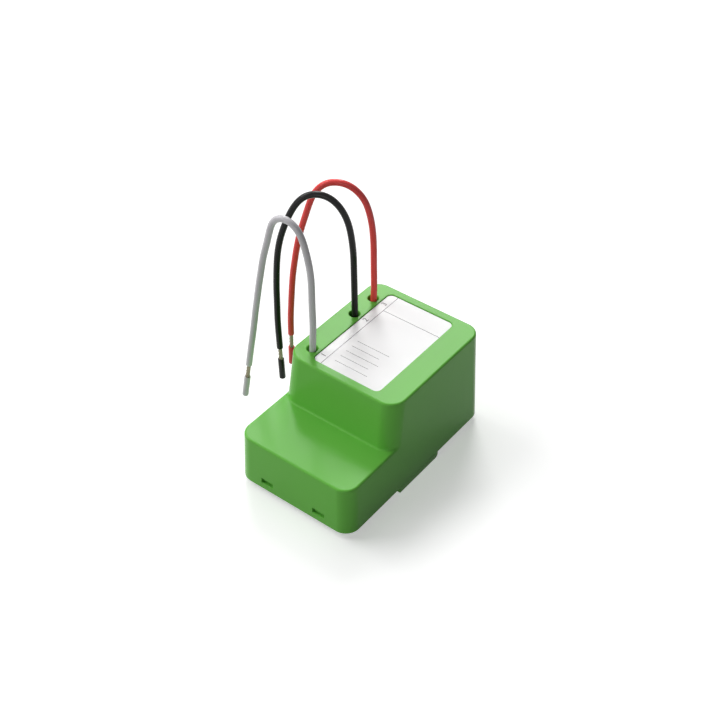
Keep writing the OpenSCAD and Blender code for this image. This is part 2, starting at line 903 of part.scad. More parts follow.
// Nylon spacers with a pin into each board
module board_spacers()
{
    color([0.9, 0.9, 0.86]) in_housing()
        for (x = spacer_xs)
            translate([x, spacer_y, 0])
            {
                translate([0, 0, board_top]) cylinder(h = boards_gap, d = spacer_d);
                translate([0, 0, board_z])
                    cylinder(h = radio_top + pin_proud - board_z, d = spacer_d / 2);
            }
}

module header_body()
{
    length = header_pins_n * header_pitch;
    color(black_case) in_housing()
        on_board(header_at) difference()
        {
            block(length, header_pitch, header_body_h);
            for (i = [0:header_pins_n - 1])
                translate([(i - (header_pins_n - 1) / 2) * header_pitch, 0, -cut])
                    block(header_pin_w, header_pin_w, header_body_h + 2 * cut);
        }
}

module header_pins()
{
    color([0.83, 0.7, 0.3]) in_housing()
        for (i = [0:header_pins_n - 1])
            on_board(header_at + [(i - (header_pins_n - 1) / 2) * header_pitch, 0])
                block(header_pin_w, header_pin_w, boards_gap);
}

// Pieces on the radio board

module radio_board()
{
    color([0.06, 0.2, 0.38]) in_housing() difference()
    {
        translate([radio_at[0], radio_at[1], radio_z])
            linear_extrude(radio_t) round_rectangle(radio_size[0], radio_size[1], 1.5);
        for (x = spacer_xs)
            translate([x, spacer_y, radio_z - cut])
                cylinder(h = radio_t + 2 * cut, d = spacer_d / 2 + 2 * pin_gap);
    }
}

module control_chip()
{
    color(black_case) in_housing() on_radio(control_at)
        block(control_size[0], control_size[1], control_size[2]);
}

// Folded tin can, open below, with a row of air holes
module shield_can()
{
    sheet = 0.3;
    holes = 4;
    color(tin) in_housing() on_radio(shield_at) difference()
    {
        linear_extrude(shield_h) round_rectangle(shield_w, shield_l, 0.8);
        translate([0, 0, -cut]) linear_extrude(shield_h - sheet + cut)
            round_rectangle(shield_w - 2 * sheet, shield_l - 2 * sheet, 0.5);
        for (i = [0:holes - 1])
            translate([(i - (holes - 1) / 2) * 3, 0, 0]) cylinder(h = shield_h + cut, d = 1.4);
    }
}

module crystal()
{
    rim = 0.5;
    w = crystal_size[0];
    l = crystal_size[1];
    color(tin) in_housing() on_radio(crystal_at)
    {
        linear_extrude(rim) round_rectangle(w, l, w / 2 - 0.1);
        linear_extrude(crystal_size[2])
            round_rectangle(w - 2 * rim, l - 2 * rim, w / 2 - rim - 0.1);
    }
}

// Sheet-metal antenna: a folded strip on two feet
module antenna()
{
    sheet = 0.5;
    foot_w = 1;
    length = antenna_size[0];
    rise = antenna_size[2];
    color([0.82, 0.78, 0.66]) in_housing() on_radio(antenna_at)
    {
        translate([0, 0, rise - sheet]) block(length, antenna_size[1], sheet);
        for (x = [0, foot_w * 4])
            translate([x + (foot_w - length) / 2, 0, 0]) block(foot_w, sheet, rise);
    }
}

// Leads

// The stretch of a lead inside the housing, from its cup to the mouth of its hole
module lead_root(i)
{
    foot = board_top + cup_base;
    color(lead_colours[i]) in_housing()
        translate([hole_xs + lead_lean[0], lead_ys[i] + lead_lean[1], foot])
            cylinder(h = top_h - foot, d = lead_d, $fn = 32);
}

// A route's points in space, from its distances out and heights
function lead_points(i) = [
    for (p = lead_routes[i])
        [hole_xs + lead_lean[0] + p[0] * cos(lead_heading[i]),
            lead_ys[i] + lead_lean[1] + p[0] * sin(lead_heading[i]), top_h + p[1]]
];

// Tilt of the route at a point, from the mean of the stretches that meet there
function tilt_at(route, k) =
    let (a = route[max(k - 1, 0)], b = route[min(k + 1, len(route) - 1)])
    k == 0 ? 0 : k == len(route) - 1 ? end_tilt(route) : atan2(b[0] - a[0], b[1] - a[1]);

// Tilt of the last stretch, which the strands and the sleeve follow
function end_tilt(route) =
    let (n = len(route))
    atan2(route[n - 1][0] - route[n - 2][0], route[n - 1][1] - route[n - 2][1]);

// Ring of points round a route point, square to the route
function ring(centre, tilt, heading, r) = [
    for (s = [0:lead_sides - 1])
        let (a = 360 * s / lead_sides, out = r * cos(a) * cos(tilt), up = -r * cos(a) * sin(tilt))
        centre + [
            out * cos(heading) - r * sin(a) * sin(heading),
            out * sin(heading) + r * sin(a) * cos(heading), up
        ]
];

// Sweeps a ring along a route into one closed tube of triangles
module lead_tube(i)
{
    route = lead_routes[i];
    centres = lead_points(i);
    n = len(route);
    points = [
        for (k = [0:n - 1]) each ring(centres[k], tilt_at(route, k), lead_heading[i], lead_d / 2)
    ];
    sides = [
        for (k = [0:n - 2], s = [0:lead_sides - 1])
            let (a = k * lead_sides + s, b = k * lead_sides + (s + 1) % lead_sides)
            each [[a, a + lead_sides, b + lead_sides], [a, b + lead_sides, b]]
    ];
    last = (n - 1) * lead_sides;
    caps = [
        for (s = [1:lead_sides - 2]) each [[0, s, s + 1], [last, last + s + 1, last + s]]
    ];
    color(lead_colours[i]) in_housing() polyhedron(points = points, faces = concat(sides, caps));
}

// Length of a lead's bare stretch, and of its end sleeve
function bare_length(i) = bare_l + bare_more[i];
function sleeve_length(i) = sleeve_l + sleeve_more[i];

// Places children at the end of a lead's insulation, +Z along the bare strands
module at_lead_end(i)
{
    centres = lead_points(i);
    translate(centres[len(centres) - 1])
        rotate([0, end_tilt(lead_routes[i]), lead_heading[i]]) children();
}

module lead_strands(i)
{
    hidden_end = 0.5;
    color(tin) in_housing() at_lead_end(i)
        cylinder(h = bare_length(i) + sleeve_length(i) - hidden_end, d = strand_d);
}

module lead_sleeve(i)
{
    color(lead_colours[i]) in_housing() at_lead_end(i)
        translate([0, 0, bare_length(i)]) difference()
        {
            cylinder(h = sleeve_length(i), d = lead_d);
            translate([0, 0, -cut])
                cylinder(h = sleeve_length(i) + 2 * cut, d = strand_d + 2 * sleeve_gap);
        }
}

housing_shell();
base_cover();
label_sheet();
power_board();
power_transistors();
thermal_pad();
heat_spreader();
fuse();
surge_varistor();
film_capacitor();
choke_core();
choke_winding();
transformer_core();
transformer_bobbin();
transformer_winding();
bulk_capacitors();
bridge_rectifier();
supply_chip();
gate_driver();
current_shunt();
wire_terminals();
board_spacers();
header_body();
header_pins();
radio_board();
control_chip();
shield_can();
crystal();
antenna();
lead_root(0);  // neutral_lead_root
lead_root(1);  // line_lead_root
lead_root(2);  // load_lead_root
lead_tube(0);  // neutral_lead
lead_tube(1);  // line_lead
lead_tube(2);  // load_lead
lead_strands(0);  // neutral_strands
lead_strands(1);  // line_strands
lead_strands(2);  // load_strands
lead_sleeve(0);  // neutral_sleeve
lead_sleeve(1);  // line_sleeve
lead_sleeve(2);  // load_sleeve
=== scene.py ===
"""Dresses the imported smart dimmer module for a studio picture.

The housing, its cover, the label and the three leads get finer meshes of their own. The boards
and the parts inside keep their solids and get their finishes. Shapes are worked out in
millimetres from the housing's front foot and rim, and are turned to metres in the row's frame
as each mesh is made.
"""

from collections import namedtuple
from math import cos, hypot, pi, radians, sin, sqrt, tan

import bmesh
import bpy
import numpy as np
from bpy.props import FloatProperty, FloatVectorProperty, IntProperty, PointerProperty
from mathutils import Matrix, Vector


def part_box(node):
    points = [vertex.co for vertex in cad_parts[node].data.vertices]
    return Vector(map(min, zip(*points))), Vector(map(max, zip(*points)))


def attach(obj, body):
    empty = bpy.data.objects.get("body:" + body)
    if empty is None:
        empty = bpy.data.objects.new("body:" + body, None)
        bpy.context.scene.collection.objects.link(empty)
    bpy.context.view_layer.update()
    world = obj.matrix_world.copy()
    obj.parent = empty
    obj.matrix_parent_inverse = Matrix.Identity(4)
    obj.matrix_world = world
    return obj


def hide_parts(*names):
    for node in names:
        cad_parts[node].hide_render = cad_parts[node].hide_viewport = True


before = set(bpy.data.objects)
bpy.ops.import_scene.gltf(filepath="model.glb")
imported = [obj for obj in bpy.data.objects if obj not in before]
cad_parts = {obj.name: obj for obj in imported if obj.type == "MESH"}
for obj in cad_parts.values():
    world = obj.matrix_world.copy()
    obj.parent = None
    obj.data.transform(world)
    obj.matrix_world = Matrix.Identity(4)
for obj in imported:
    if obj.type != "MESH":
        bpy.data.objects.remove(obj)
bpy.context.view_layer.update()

bl_info = {
    "name": "Smart dimmer module",
    "version": (1, 0, 0),
    "blender": (4, 5, 0),
    "location": "3D View > Sidebar > Dimmer",
    "description": "Builds the finished pieces of a three-lead dimmer module and its stage",
    "category": "Object",
}

MM = 0.001
MICRON = 1e-6
SHELL_LOW, SHELL_HIGH = (Vector(corner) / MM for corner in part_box("housing_shell"))
FRONT = SHELL_LOW.y
RIM = SHELL_LOW.z
BODY = "module"

# How far each lead leans off its hole's middle, in millimetres
LEAN = (0.5775, -0.48)

# Each lead: its name, its material slot, the distance of its hole from the front, the way it
# heads, the lengths of its bare stretch and of its end sleeve, and its route as distance out from
# the hole and height above the roof
Lead = namedtuple("Lead", "name slot hole heading bare sleeve route")
LEADS = (
    Lead("neutral", "insulation_grey", 34.5, 186, 6.4, 10, (
        (0, 0), (-0.2, 5.4), (-0.4, 11.3), (-0.3, 17.9), (-0.3, 24.7), (-0.2, 30.7),
        (0.4, 36.5), (1.6, 42.2), (3.1, 47.1), (4.7, 49.8), (6.5, 51.3), (8.6, 52.1),
        (10.7, 52), (12.7, 51.1), (14.2, 49.4), (15.5, 46.2), (17.2, 39.8), (19, 33.2),
        (20.3, 27), (21.6, 20.3), (22.8, 13.5), (24, 6.7), (25.1, -0.2), (26.3, -7.1),
        (27.5, -13.8), (28.6, -20.3))),
    Lead("line", "insulation_black", 58.6, 212, 5.5, 9.2, (
        (0, 0), (0.1, 7), (0.2, 14.2), (0.3, 21.1), (0.5, 27.8), (1.1, 34.2), (2.1, 39.8),
        (3.7, 44.3), (5.8, 47.7), (8.2, 50), (10.9, 51.2), (13.4, 51.4), (15.8, 50.8),
        (18.2, 49.1), (20.6, 45.9), (22.9, 41.1), (25, 35.3), (26.4, 29.8), (27.3, 23.7),
        (27.8, 17), (28.1, 10.1), (28.2, 3.1), (28.3, -4.1), (28.2, -11), (28, -18))),
    Lead("load", "insulation_red", 69.8, 210, 6.4, 8, (
        (0, 0), (-0.1, 6.7), (0, 13.6), (0.1, 20.6), (0.3, 27.4), (0.9, 33.7), (2, 39.2),
        (3.5, 43.4), (5.7, 46.5), (8.3, 48.7), (11.2, 49.8), (14, 49.9), (16.6, 49.2),
        (19, 47.4), (21.1, 44.5), (22.8, 40.2), (24.6, 34.1), (26.3, 28), (27.7, 21.5),
        (28.8, 14.7), (29.7, 8), (30.3, 1.2), (30.8, -5.9), (31.2, -13), (31.3, -20))),
)

# Points along a lead lie this far apart, in millimetres, and are evened out this many times
ROUTE_STEP, ROUTE_PASSES = 0.5, 10
# The rounding of a lead's cut end, and the close points that carry it
CUT_EDGE, CUT_STEP, CUT_POINTS = 0.1, 0.02, 7
# How far the strands start inside the insulation and stop inside the end of the sleeve
STRANDS_IN, STRANDS_SHORT = 1.5, 0.5
# The housing's ribs: distances from the front, half the width of one, how far it reaches over the
# power board and its gap above it
RIBS, RIB_HALF, RIB_REACH, RIB_GAP = (20.0, 55.0), 0.6, 2.0, 0.1
# Radius of a snap window's corners and the steps round one
WINDOW_CORNER, WINDOW_STEPS = 0.15, 4
# Faces round a collar and round a lead hole
COLLAR_SIDES, HOLE_SIDES = 48, 64
# How far a cutter reaches past what it cuts
PAST = 1.0
# A housing whose openings were all cut has more faces than this
CUT_FACES = 500

# Each light: its level's name, its turn from the camera's side towards the left, its height above
# the horizon and its width, all in degrees
LIGHTS = (("rear", 180, 40, 24), ("high", 160, 62, 36), ("side", 110, 40, 40),
          ("low", 60, 10, 40), ("front", 5, 10, 40))


# ---- Settings ----

def srgb(r, g, b):
    """A colour given as 0 to 255, in the linear values that shaders use."""
    return tuple(
        v / 12.92 if v <= 0.04045 else ((v + 0.055) / 1.055) ** 2.4
        for v in (r / 255, g / 255, b / 255)
    )


def length(name, description, millimetres):
    return FloatProperty(
        name=name, description=description, default=millimetres * MM, min=0.0, unit="LENGTH",
        precision=5,
    )


def angle(name, description, value):
    return FloatProperty(name=name, description=description, default=radians(value),
                         unit="ROTATION")


def level(name, description, value):
    return FloatProperty(name=name, description=description, default=value, min=0.0)


def colour(name, description, value):
    return FloatVectorProperty(name=name, description=description, default=value, size=3,
                               min=0.0, max=1.0, subtype="COLOR")


class DimmerHousing(bpy.types.PropertyGroup):
    width: length("Width", "Across the bottom rim", SHELL_HIGH.x - SHELL_LOW.x)
    depth: length("Length", "Front to back along the bottom rim", SHELL_HIGH.y - SHELL_LOW.y)
    ledge: length("Ledge height", "From the rim to the low front part's top", 20.2)
    top: length("Top height", "From the rim to the roof", SHELL_HIGH.z - SHELL_LOW.z)
    step: length("Step distance", "From the front to the foot of the step", 24.1)
    lean: length("Step lean", "How far the step face leans back up to the roof", 2.9)
    draft: angle("Draft", "Lean of the outer walls", 1.85)
    corner: length("Corner radius", "Upright corners", 5.7)
    step_corner: length("Step corner radius", "Upright corners at the step face", 6.4)
    edge: length("Edge radius", "Upper edges", 0.8)
    fillet: length("Fillet radius", "Along the foot of the step", 0.8)
    rim: length("Rim radius", "Outer edge of the bottom rim", 0.12)
    wall: length("Wall", "Thickness of the side walls", 1.8)
    roof: length("Roof", "Thickness of the roof and the ledge", 2.2)
    window_x: length("Window offset", "From the middle to each snap window", 11.5)
    window_w: length("Window width", "Across a snap window", 5.1)
    window_h: length("Window height", "Height of a snap window", 2.2)
    window_z: length("Window level", "From the rim to a window's middle", 3.7)
    break_r: length("Broken edge", "Rounding of the rims of windows and recess", 0.16)


class DimmerLabel(bpy.types.PropertyGroup):
    left: length("Left margin", "From the row of lead holes to the recess", 3.2)
    right: length("Right margin", "From the right wall's rim to the recess", 11)
    front: length("Front margin", "From the foot of the step to the recess", 6.2)
    back: length("Back margin", "From the rear wall's rim to the recess", 4.6)
    recess: length("Recess depth", "How deep the recess is", 0.6)
    corner: length("Corner radius", "Corners of the recess", 2.2)
    gap: length("Gap", "Between the label and its recess", 0.15)
    thickness: length("Thickness", "Of the label", 0.25)
    rule: length("Rule width", "Width of the printed rules", 0.22)
    numeral: length("Numeral height", "Height of the lead numbers", 3.0)


class DimmerLeads(bpy.types.PropertyGroup):
    inset: length("Hole inset", "From the left wall's rim to the row of holes", 7.1)
    hole: length("Hole diameter", "Of a lead hole", 4)
    hole_rim: length("Hole rim", "Rounding of a hole's upper rim", 0.3)
    collar: length("Collar diameter", "Below a lead hole", 6.8)
    collar_depth: length("Collar depth", "Below the roof", 3)
    insulation: length("Insulation", "Diameter over the insulation", 2.4)
    bundle: length("Strand bundle", "Diameter over the bare strands", 1.6)
    sleeve_gap: length("Sleeve gap", "Between the strands and the sleeve's bore", 0.05)
    lay: length("Lay", "Length of one turn of the strands", 7.5)
    sides: IntProperty(name="Sides", description="Faces round a lead", default=28, min=8)


class DimmerFinish(bpy.types.PropertyGroup):
    green: colour("Housing", "Moulded plastic of housing and cover", srgb(110, 193, 76))
    paper: colour("Label", "Label stock", srgb(252, 252, 252))
    ink: colour("Ink", "Printed rules and numbers", srgb(70, 70, 72))
    neutral: colour("Neutral lead", "Insulation", srgb(214, 212, 216))
    line: colour("Line lead", "Insulation", srgb(27, 27, 27))
    load: colour("Load lead", "Insulation", srgb(252, 80, 78))
    strands: colour("Strands", "Tinned copper", srgb(186, 177, 150))


class DimmerStage(bpy.types.PropertyGroup):
    azimuth: angle("Azimuth", "The camera's turn round the module", 37.603)
    elevation: angle("Elevation", "The camera's height above the horizon", 41.557)
    lens: FloatProperty(name="Lens", description="Focal length on a 36 mm sensor",
                        default=66.065, min=10.0)
    place: FloatVectorProperty(name="Camera place", description="Where the camera stands",
                               default=(0.20826, -0.27202, 0.34555), size=3,
                               subtype="TRANSLATION")
    rear: level("Rear light", "Level of the light that faces the camera", 0.48)
    high: level("High light", "Level of the light from high behind, to the left", 0.235)
    side: level("Side light", "Level of the light from the left", 0.54)
    low: level("Low light", "Level of the light from low in front, to the left", 0.136)
    front: level("Front light", "Level of the light from low beside the camera", 0.16)
    floor: level("Floor", "How much light the floor gives back", 0.42)
    backdrop: level("Backdrop", "How pale the floor looks, so that its lit part is white", 0.79)
    glow: level("Backdrop glow", "What the floor adds of its own where it is looked at", 0.45)


# ---- Node graphs ----

def math_method(operation, reflected=False):
    """An operator method that adds a Math node. A reflected one puts its value last."""
    def method(value, *other):
        terms = (*other, value) if reflected else (value, *other)
        return value.graph.maths(operation, *terms)
    return method


class Value:
    """A number socket that adds its Math nodes as it is written in an expression."""

    __add__ = __radd__ = math_method("ADD")
    __mul__ = __rmul__ = math_method("MULTIPLY")
    __sub__, __rsub__ = math_method("SUBTRACT"), math_method("SUBTRACT", True)
    __truediv__, __rtruediv__ = math_method("DIVIDE"), math_method("DIVIDE", True)
    __gt__, __lt__ = math_method("GREATER_THAN"), math_method("LESS_THAN")
    __abs__ = math_method("ABSOLUTE")

    def __init__(self, graph, socket):
        self.graph = graph
        self.socket = socket


class Graph:
    """Adds nodes to a tree, for shaders and for geometry alike."""

    def __init__(self, tree):
        self.tree = tree

    def node(self, kind, settings=None, inputs=None):
        """A node of that type: its settings are set first, then its sockets' values or links."""
        node = self.tree.nodes.new(kind)
        for key, value in (settings or {}).items():
            setattr(node, key, value)
        for key, value in (inputs or {}).items():
            self.put(node.inputs[key], value)
        return node

    def put(self, socket, value):
        """Links a socket to another one, or sets its value."""
        source = getattr(value, "socket", value)
        if isinstance(source, bpy.types.NodeSocket):
            self.tree.links.new(source, socket)
        elif socket.type == "RGBA" and len(source) == 3:
            socket.default_value = (*source, 1.0)
        else:
            socket.default_value = source

    def value(self, node, output=0):
        return Value(self, node.outputs[output])

    def maths(self, operation, *terms):
        node = self.node("ShaderNodeMath", {"operation": operation}, dict(enumerate(terms)))
        return self.value(node)

    def vector(self, operation, inputs):
        node = self.node("ShaderNodeVectorMath", {"operation": operation}, inputs)
        return node.outputs[0]


class Finish(Graph):
    """A procedural material on one Principled shader."""

    def __init__(self, name):
        self.material = bpy.data.materials.new(name)
        self.material.use_nodes = True
        super().__init__(self.material.node_tree)
        self.tree.nodes.clear()
        self.shader = self.node("ShaderNodeBsdfPrincipled")
        self.output = self.node("ShaderNodeOutputMaterial", None,
                                {"Surface": self.shader.outputs[0]})
        self.at = self.node("ShaderNodeTexCoord").outputs["Object"]
        split = self.node("ShaderNodeSeparateXYZ", None, {0: self.at})
        self.x, self.y, self.z = (self.value(split, i) for i in range(3))

    def set(self, **sockets):
        """Sets the shader's own sockets, with names such as base_color."""
        for key, value in sockets.items():
            name = key.replace("_", " ").title().replace(" Ior ", " IOR ")
            self.put(self.shader.inputs[name], value)

    def noise(self, size, detail, stretch=(1, 1, 1), shift=(0, 0, 0)):
        """Even noise from 0 to 1 whose lumps are about size millimetres across."""
        place = self.node("ShaderNodeMapping", None, {
            "Vector": self.at, "Location": shift, "Scale": stretch})
        node = self.node("ShaderNodeTexNoise", {"noise_dimensions": "3D"}, {
            "Vector": place.outputs[0], "Scale": 1 / (size * MM), "Detail": detail,
            "Roughness": 0.5})
        return self.value(node, "Fac")

    def blend(self, amount, low, high):
        """A colour between two, by an amount from 0 to 1."""
        factor, first, second, result = 0, 6, 7, 2
        node = self.node("ShaderNodeMix", {"data_type": "RGBA"}, {
            factor: amount, first: low, second: high})
        return node.outputs[result]

    def shaded(self, base, spread, amount):
        """A colour that varies a little to either side of its base."""
        return self.blend(amount, tuple(v * (1 - spread) for v in base),
                          tuple(min(1.0, v * (1 + spread)) for v in base))

    def bump(self, height, depth):
        """Raises the surface by a height from 0 to 1, times a depth in microns."""
        node = self.node("ShaderNodeBump", None, {
            "Strength": 1.0, "Distance": depth * MICRON, "Height": height})
        self.put(self.shader.inputs["Normal"], node.outputs[0])
        return self


def band(value, low, high):
    """1 where a value lies between two numbers, else 0."""
    return (value > low) * (value < high)


# ---- Finishes ----

def chosen(name):
    """A colour of the finish group."""
    return tuple(getattr(bpy.context.scene.dimmer_finish, name))


def moulded_plastic(name, base):
    """Satin moulded plastic with a fine eroded grain from its mould."""
    paint = Finish(name)
    cloud, grain = paint.noise(30, 2), paint.noise(0.3, 3)
    paint.set(base_color=paint.shaded(base, 0.03, cloud), specular_ior_level=0.1,
              roughness=0.16 + 0.05 * cloud + 0.06 * grain)
    return paint.bump(grain, 9).material


def label_stock(name, base):
    """Smooth coated label film."""
    paint = Finish(name)
    haze = paint.noise(12, 3)
    paint.set(base_color=paint.shaded(base, 0.012, haze), specular_ior_level=0.3,
              roughness=0.38 + 0.06 * haze)
    return paint.bump(paint.noise(0.6, 2), 2).material


def printed_ink(name, base):
    """Thin ink, worn a little unevenly."""
    paint = Finish(name)
    wear = paint.noise(0.4, 3)
    paint.set(base_color=paint.shaded(base, 0.12, wear), roughness=0.45 + 0.1 * wear)
    return paint.material


def wire_insulation(name, base):
    """Extruded plastic insulation, glossy, with faint marks along its length."""
    paint = Finish(name)
    streaks, patches = paint.noise(0.7, 3, stretch=(1, 1, 0.08)), paint.noise(6, 2)
    paint.set(base_color=paint.shaded(base, 0.06, patches), specular_ior_level=0.2,
              roughness=0.13 + 0.06 * streaks)
    return paint.bump(streaks, 12).material


def tinned_strands(name, base):
    """Tinned copper wire, dull where the tin is thin."""
    paint = Finish(name)
    dull, fine = paint.noise(0.9, 3), paint.noise(0.15, 2)
    paint.set(base_color=paint.blend(dull, tuple(v * 0.5 for v in base), base), metallic=0.5,
              roughness=0.34 + 0.18 * dull)
    return paint.bump(fine, 4).material


def bright_metal(name, base, rough, size=2, stretch=(1, 1, 1)):
    """Plated or rolled metal with a faint tarnish."""
    paint = Finish(name)
    tarnish = paint.noise(size, 4, stretch)
    paint.set(base_color=paint.shaded(base, 0.10, tarnish), metallic=1.0,
              roughness=rough + 0.16 * tarnish)
    return paint.bump(tarnish, 4).material


def matt_case(name, base, rough, grain_size=0.25, depth=6):
    """A moulded, dipped or ground case with a fine grain."""
    paint = Finish(name)
    grain, cloud = paint.noise(grain_size, 3), paint.noise(4, 2)
    paint.set(base_color=paint.shaded(base, 0.12, cloud), roughness=rough + 0.12 * grain)
    return paint.bump(grain, depth).material


def chip_with_legs(name, node, case_half):
    """Black moulded case whose legs, past the case's half width, are tinned."""
    paint = Finish(name)
    low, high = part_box(node)
    middle = (low[1] + high[1]) / 2
    leg = abs(paint.y - middle) > case_half * MM
    grain = paint.noise(0.2, 3)
    paint.set(base_color=paint.blend(leg, srgb(34, 34, 36), srgb(196, 194, 188)),
              metallic=leg, roughness=0.55 - 0.25 * leg + 0.1 * grain)
    return paint.bump(grain, 5).material


def circuit_board(name, mask, track):
    """Solder mask over faint copper tracks that wander a little."""
    paint = Finish(name)
    pitch, wander = 1.9 * MM, paint.noise(4, 1)
    row = paint.maths("FRACT", (paint.x + 1.2 * MM * wander) / pitch)
    column = paint.maths("FRACT", (paint.y + 1.0 * MM * wander) / (pitch * 1.4))
    field = paint.noise(6, 1, shift=(3.0, 2.1, 3.9)) > 0.5
    tracks = band(row, 0.3, 0.62) * field + band(column, 0.35, 0.6) * (1 - field)
    weave = paint.noise(0.3, 2)
    paint.set(base_color=paint.blend(tracks, mask, track), specular_ior_level=0.5,
              roughness=0.32 + 0.12 * weave)
    return paint.bump(tracks + 0.1 * weave, 30).material


def wound_wire(name, base, pitch):
    """Enamelled wire turns, a pitch in millimetres apart, with a dark line of painted shade
    between them.
    """
    paint = Finish(name)
    gap = abs(paint.maths("FRACT", paint.z / (pitch * MM)) - 0.5) * 2
    # Darkening towards the groove between turns is painted shade; the same mask also sinks the
    # groove
    paint.set(base_color=paint.blend(gap, base, tuple(v * 0.45 for v in base)), metallic=0.85,
              roughness=0.3 + 0.15 * paint.noise(1, 2))
    return paint.bump(1 - gap, 60).material


def capacitor_sleeve(name, node, base):
    """Plain shrunk sleeve with a bare aluminium top."""
    paint = Finish(name)
    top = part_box(node)[1][2]
    bare = paint.z > top - 0.42 * MM
    crinkle = paint.noise(1.2, 2)
    paint.set(base_color=paint.blend(bare, base, srgb(205, 207, 210)), metallic=bare,
              roughness=0.32 + 0.1 * crinkle)
    return paint.bump(crinkle, 10).material


# ---- Mesh helpers ----

def placed(x, y, z):
    """A point of the housing's own millimetres, in the row's frame in metres."""
    return Vector((x * MM, (y + FRONT) * MM, (z + RIM) * MM))


def loft(bm, rings, cap=True):
    """Skins rings of points that have the same count, and closes both ends."""
    rows = [[bm.verts.new(p) for p in ring] for ring in rings]
    count = len(rows[0])
    for low, high in zip(rows, rows[1:]):
        for i in range(count):
            k = (i + 1) % count
            bm.faces.new((low[i], low[k], high[k], high[i]))
    if cap:
        bm.faces.new(rows[0][::-1])
        bm.faces.new(rows[-1])
    return rows


def mesh_from(bm, name):
    """The finished mesh, with its doubles merged and its faces pointing outwards."""
    bmesh.ops.remove_doubles(bm, verts=bm.verts, dist=1e-8)
    bmesh.ops.recalc_face_normals(bm, faces=bm.faces)
    mesh = bpy.data.meshes.new(name)
    bm.to_mesh(mesh)
    bm.free()
    return mesh


def coat(piece, material):
    """Makes a material the only one of a piece."""
    piece.data.materials.clear()
    piece.data.materials.append(material)


def show(name, data, material=None):
    """Puts a mesh or a curve in the scene as an object."""
    piece = bpy.data.objects.new(name, data)
    bpy.context.scene.collection.objects.link(piece)
    if material:
        coat(piece, material)
    return piece


def settled(piece, name):
    """The piece with its modifiers applied, as a new plain mesh object."""
    graph = bpy.context.evaluated_depsgraph_get()
    graph.update()
    mesh = bpy.data.meshes.new_from_object(piece.evaluated_get(graph), depsgraph=graph)
    old = piece.data
    bpy.data.objects.remove(piece)
    if not old.users:
        (bpy.data.curves if isinstance(old, bpy.types.Curve) else bpy.data.meshes).remove(old)
    mesh.name = name
    return show(name, mesh)


def smoothed(piece, limit=32):
    """Smooth shading that keeps flat walls flat and edges past the limit sharp."""
    name = piece.name
    piece.name = name + "_rough"
    for face in piece.data.polygons:
        face.use_smooth = True
    piece.data.set_sharp_from_angle(angle=radians(limit))
    weigh = piece.modifiers.new("Flat walls", "WEIGHTED_NORMAL")
    weigh.keep_sharp = True
    weigh.weight = 100
    return settled(piece, name)


def carve(piece, cutters):
    """Takes each cutter's volume out of the piece and removes the cutters."""
    for cutter in cutters:
        cut = piece.modifiers.new("Cut", "BOOLEAN")
        cut.operation = "DIFFERENCE"
        cut.solver = "EXACT"
        cut.object = cutter
    name = piece.name
    piece.name = name + "_block"
    result = settled(piece, name)
    for cutter in cutters:
        mesh = cutter.data
        bpy.data.objects.remove(cutter)
        bpy.data.meshes.remove(mesh)
    return result


def arc(centre, radius, start, end, steps):
    """Points on an arc, both ends included, in degrees."""
    return [
        (centre[0] + radius * cos(radians(start + (end - start) * k / steps)),
         centre[1] + radius * sin(radians(start + (end - start) * k / steps)))
        for k in range(steps + 1)
    ]


def circle(middle, radius, steps):
    return arc(middle, radius, 0, 360, steps)[:-1]


def round_rectangle(middle, size, radius, steps=10):
    """Outline of a rectangle with round corners."""
    half = (size[0] / 2 - radius, size[1] / 2 - radius)
    outline = []
    for k, (sx, sy) in enumerate(((1, 1), (-1, 1), (-1, -1), (1, -1))):
        outline += arc((middle[0] + sx * half[0], middle[1] + sy * half[1]), radius,
                       90 * k, 90 * k + 90, steps)
    return outline


def flared(outline_at, bottom, surface, rim):
    """Rings of a cutter whose mouth widens by a quarter round just below the surface."""
    steps, below = 5, 0.0005
    rings = [[(*p, bottom) for p in outline_at(0)]]
    for k in range(steps + 1):
        a = radians(90 * k / steps)
        z = surface - rim * (1 - sin(a)) - below
        rings.append([(*p, z) for p in outline_at(rim * (1 - cos(a)))])
    rings.append([(*p, surface + PAST) for p in outline_at(rim)])
    return rings


def add_rings(bm, rings):
    """Skins rings of points that are given in the housing's millimetres."""
    loft(bm, [[placed(*p) for p in ring] for ring in rings])


def add_box(bm, low, high):
    add_rings(bm, [[(low[0], low[1], z), (high[0], low[1], z), (high[0], high[1], z),
                    (low[0], high[1], z)] for z in (low[2], high[2])])


def finish_piece(piece, body, slot, *nodes):
    """Hangs a piece on its body's empty and hides the nodes that it stands for. The slot is not
    used.
    """
    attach(piece, body)
    if nodes:
        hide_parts(*nodes)


# ---- Housing ----

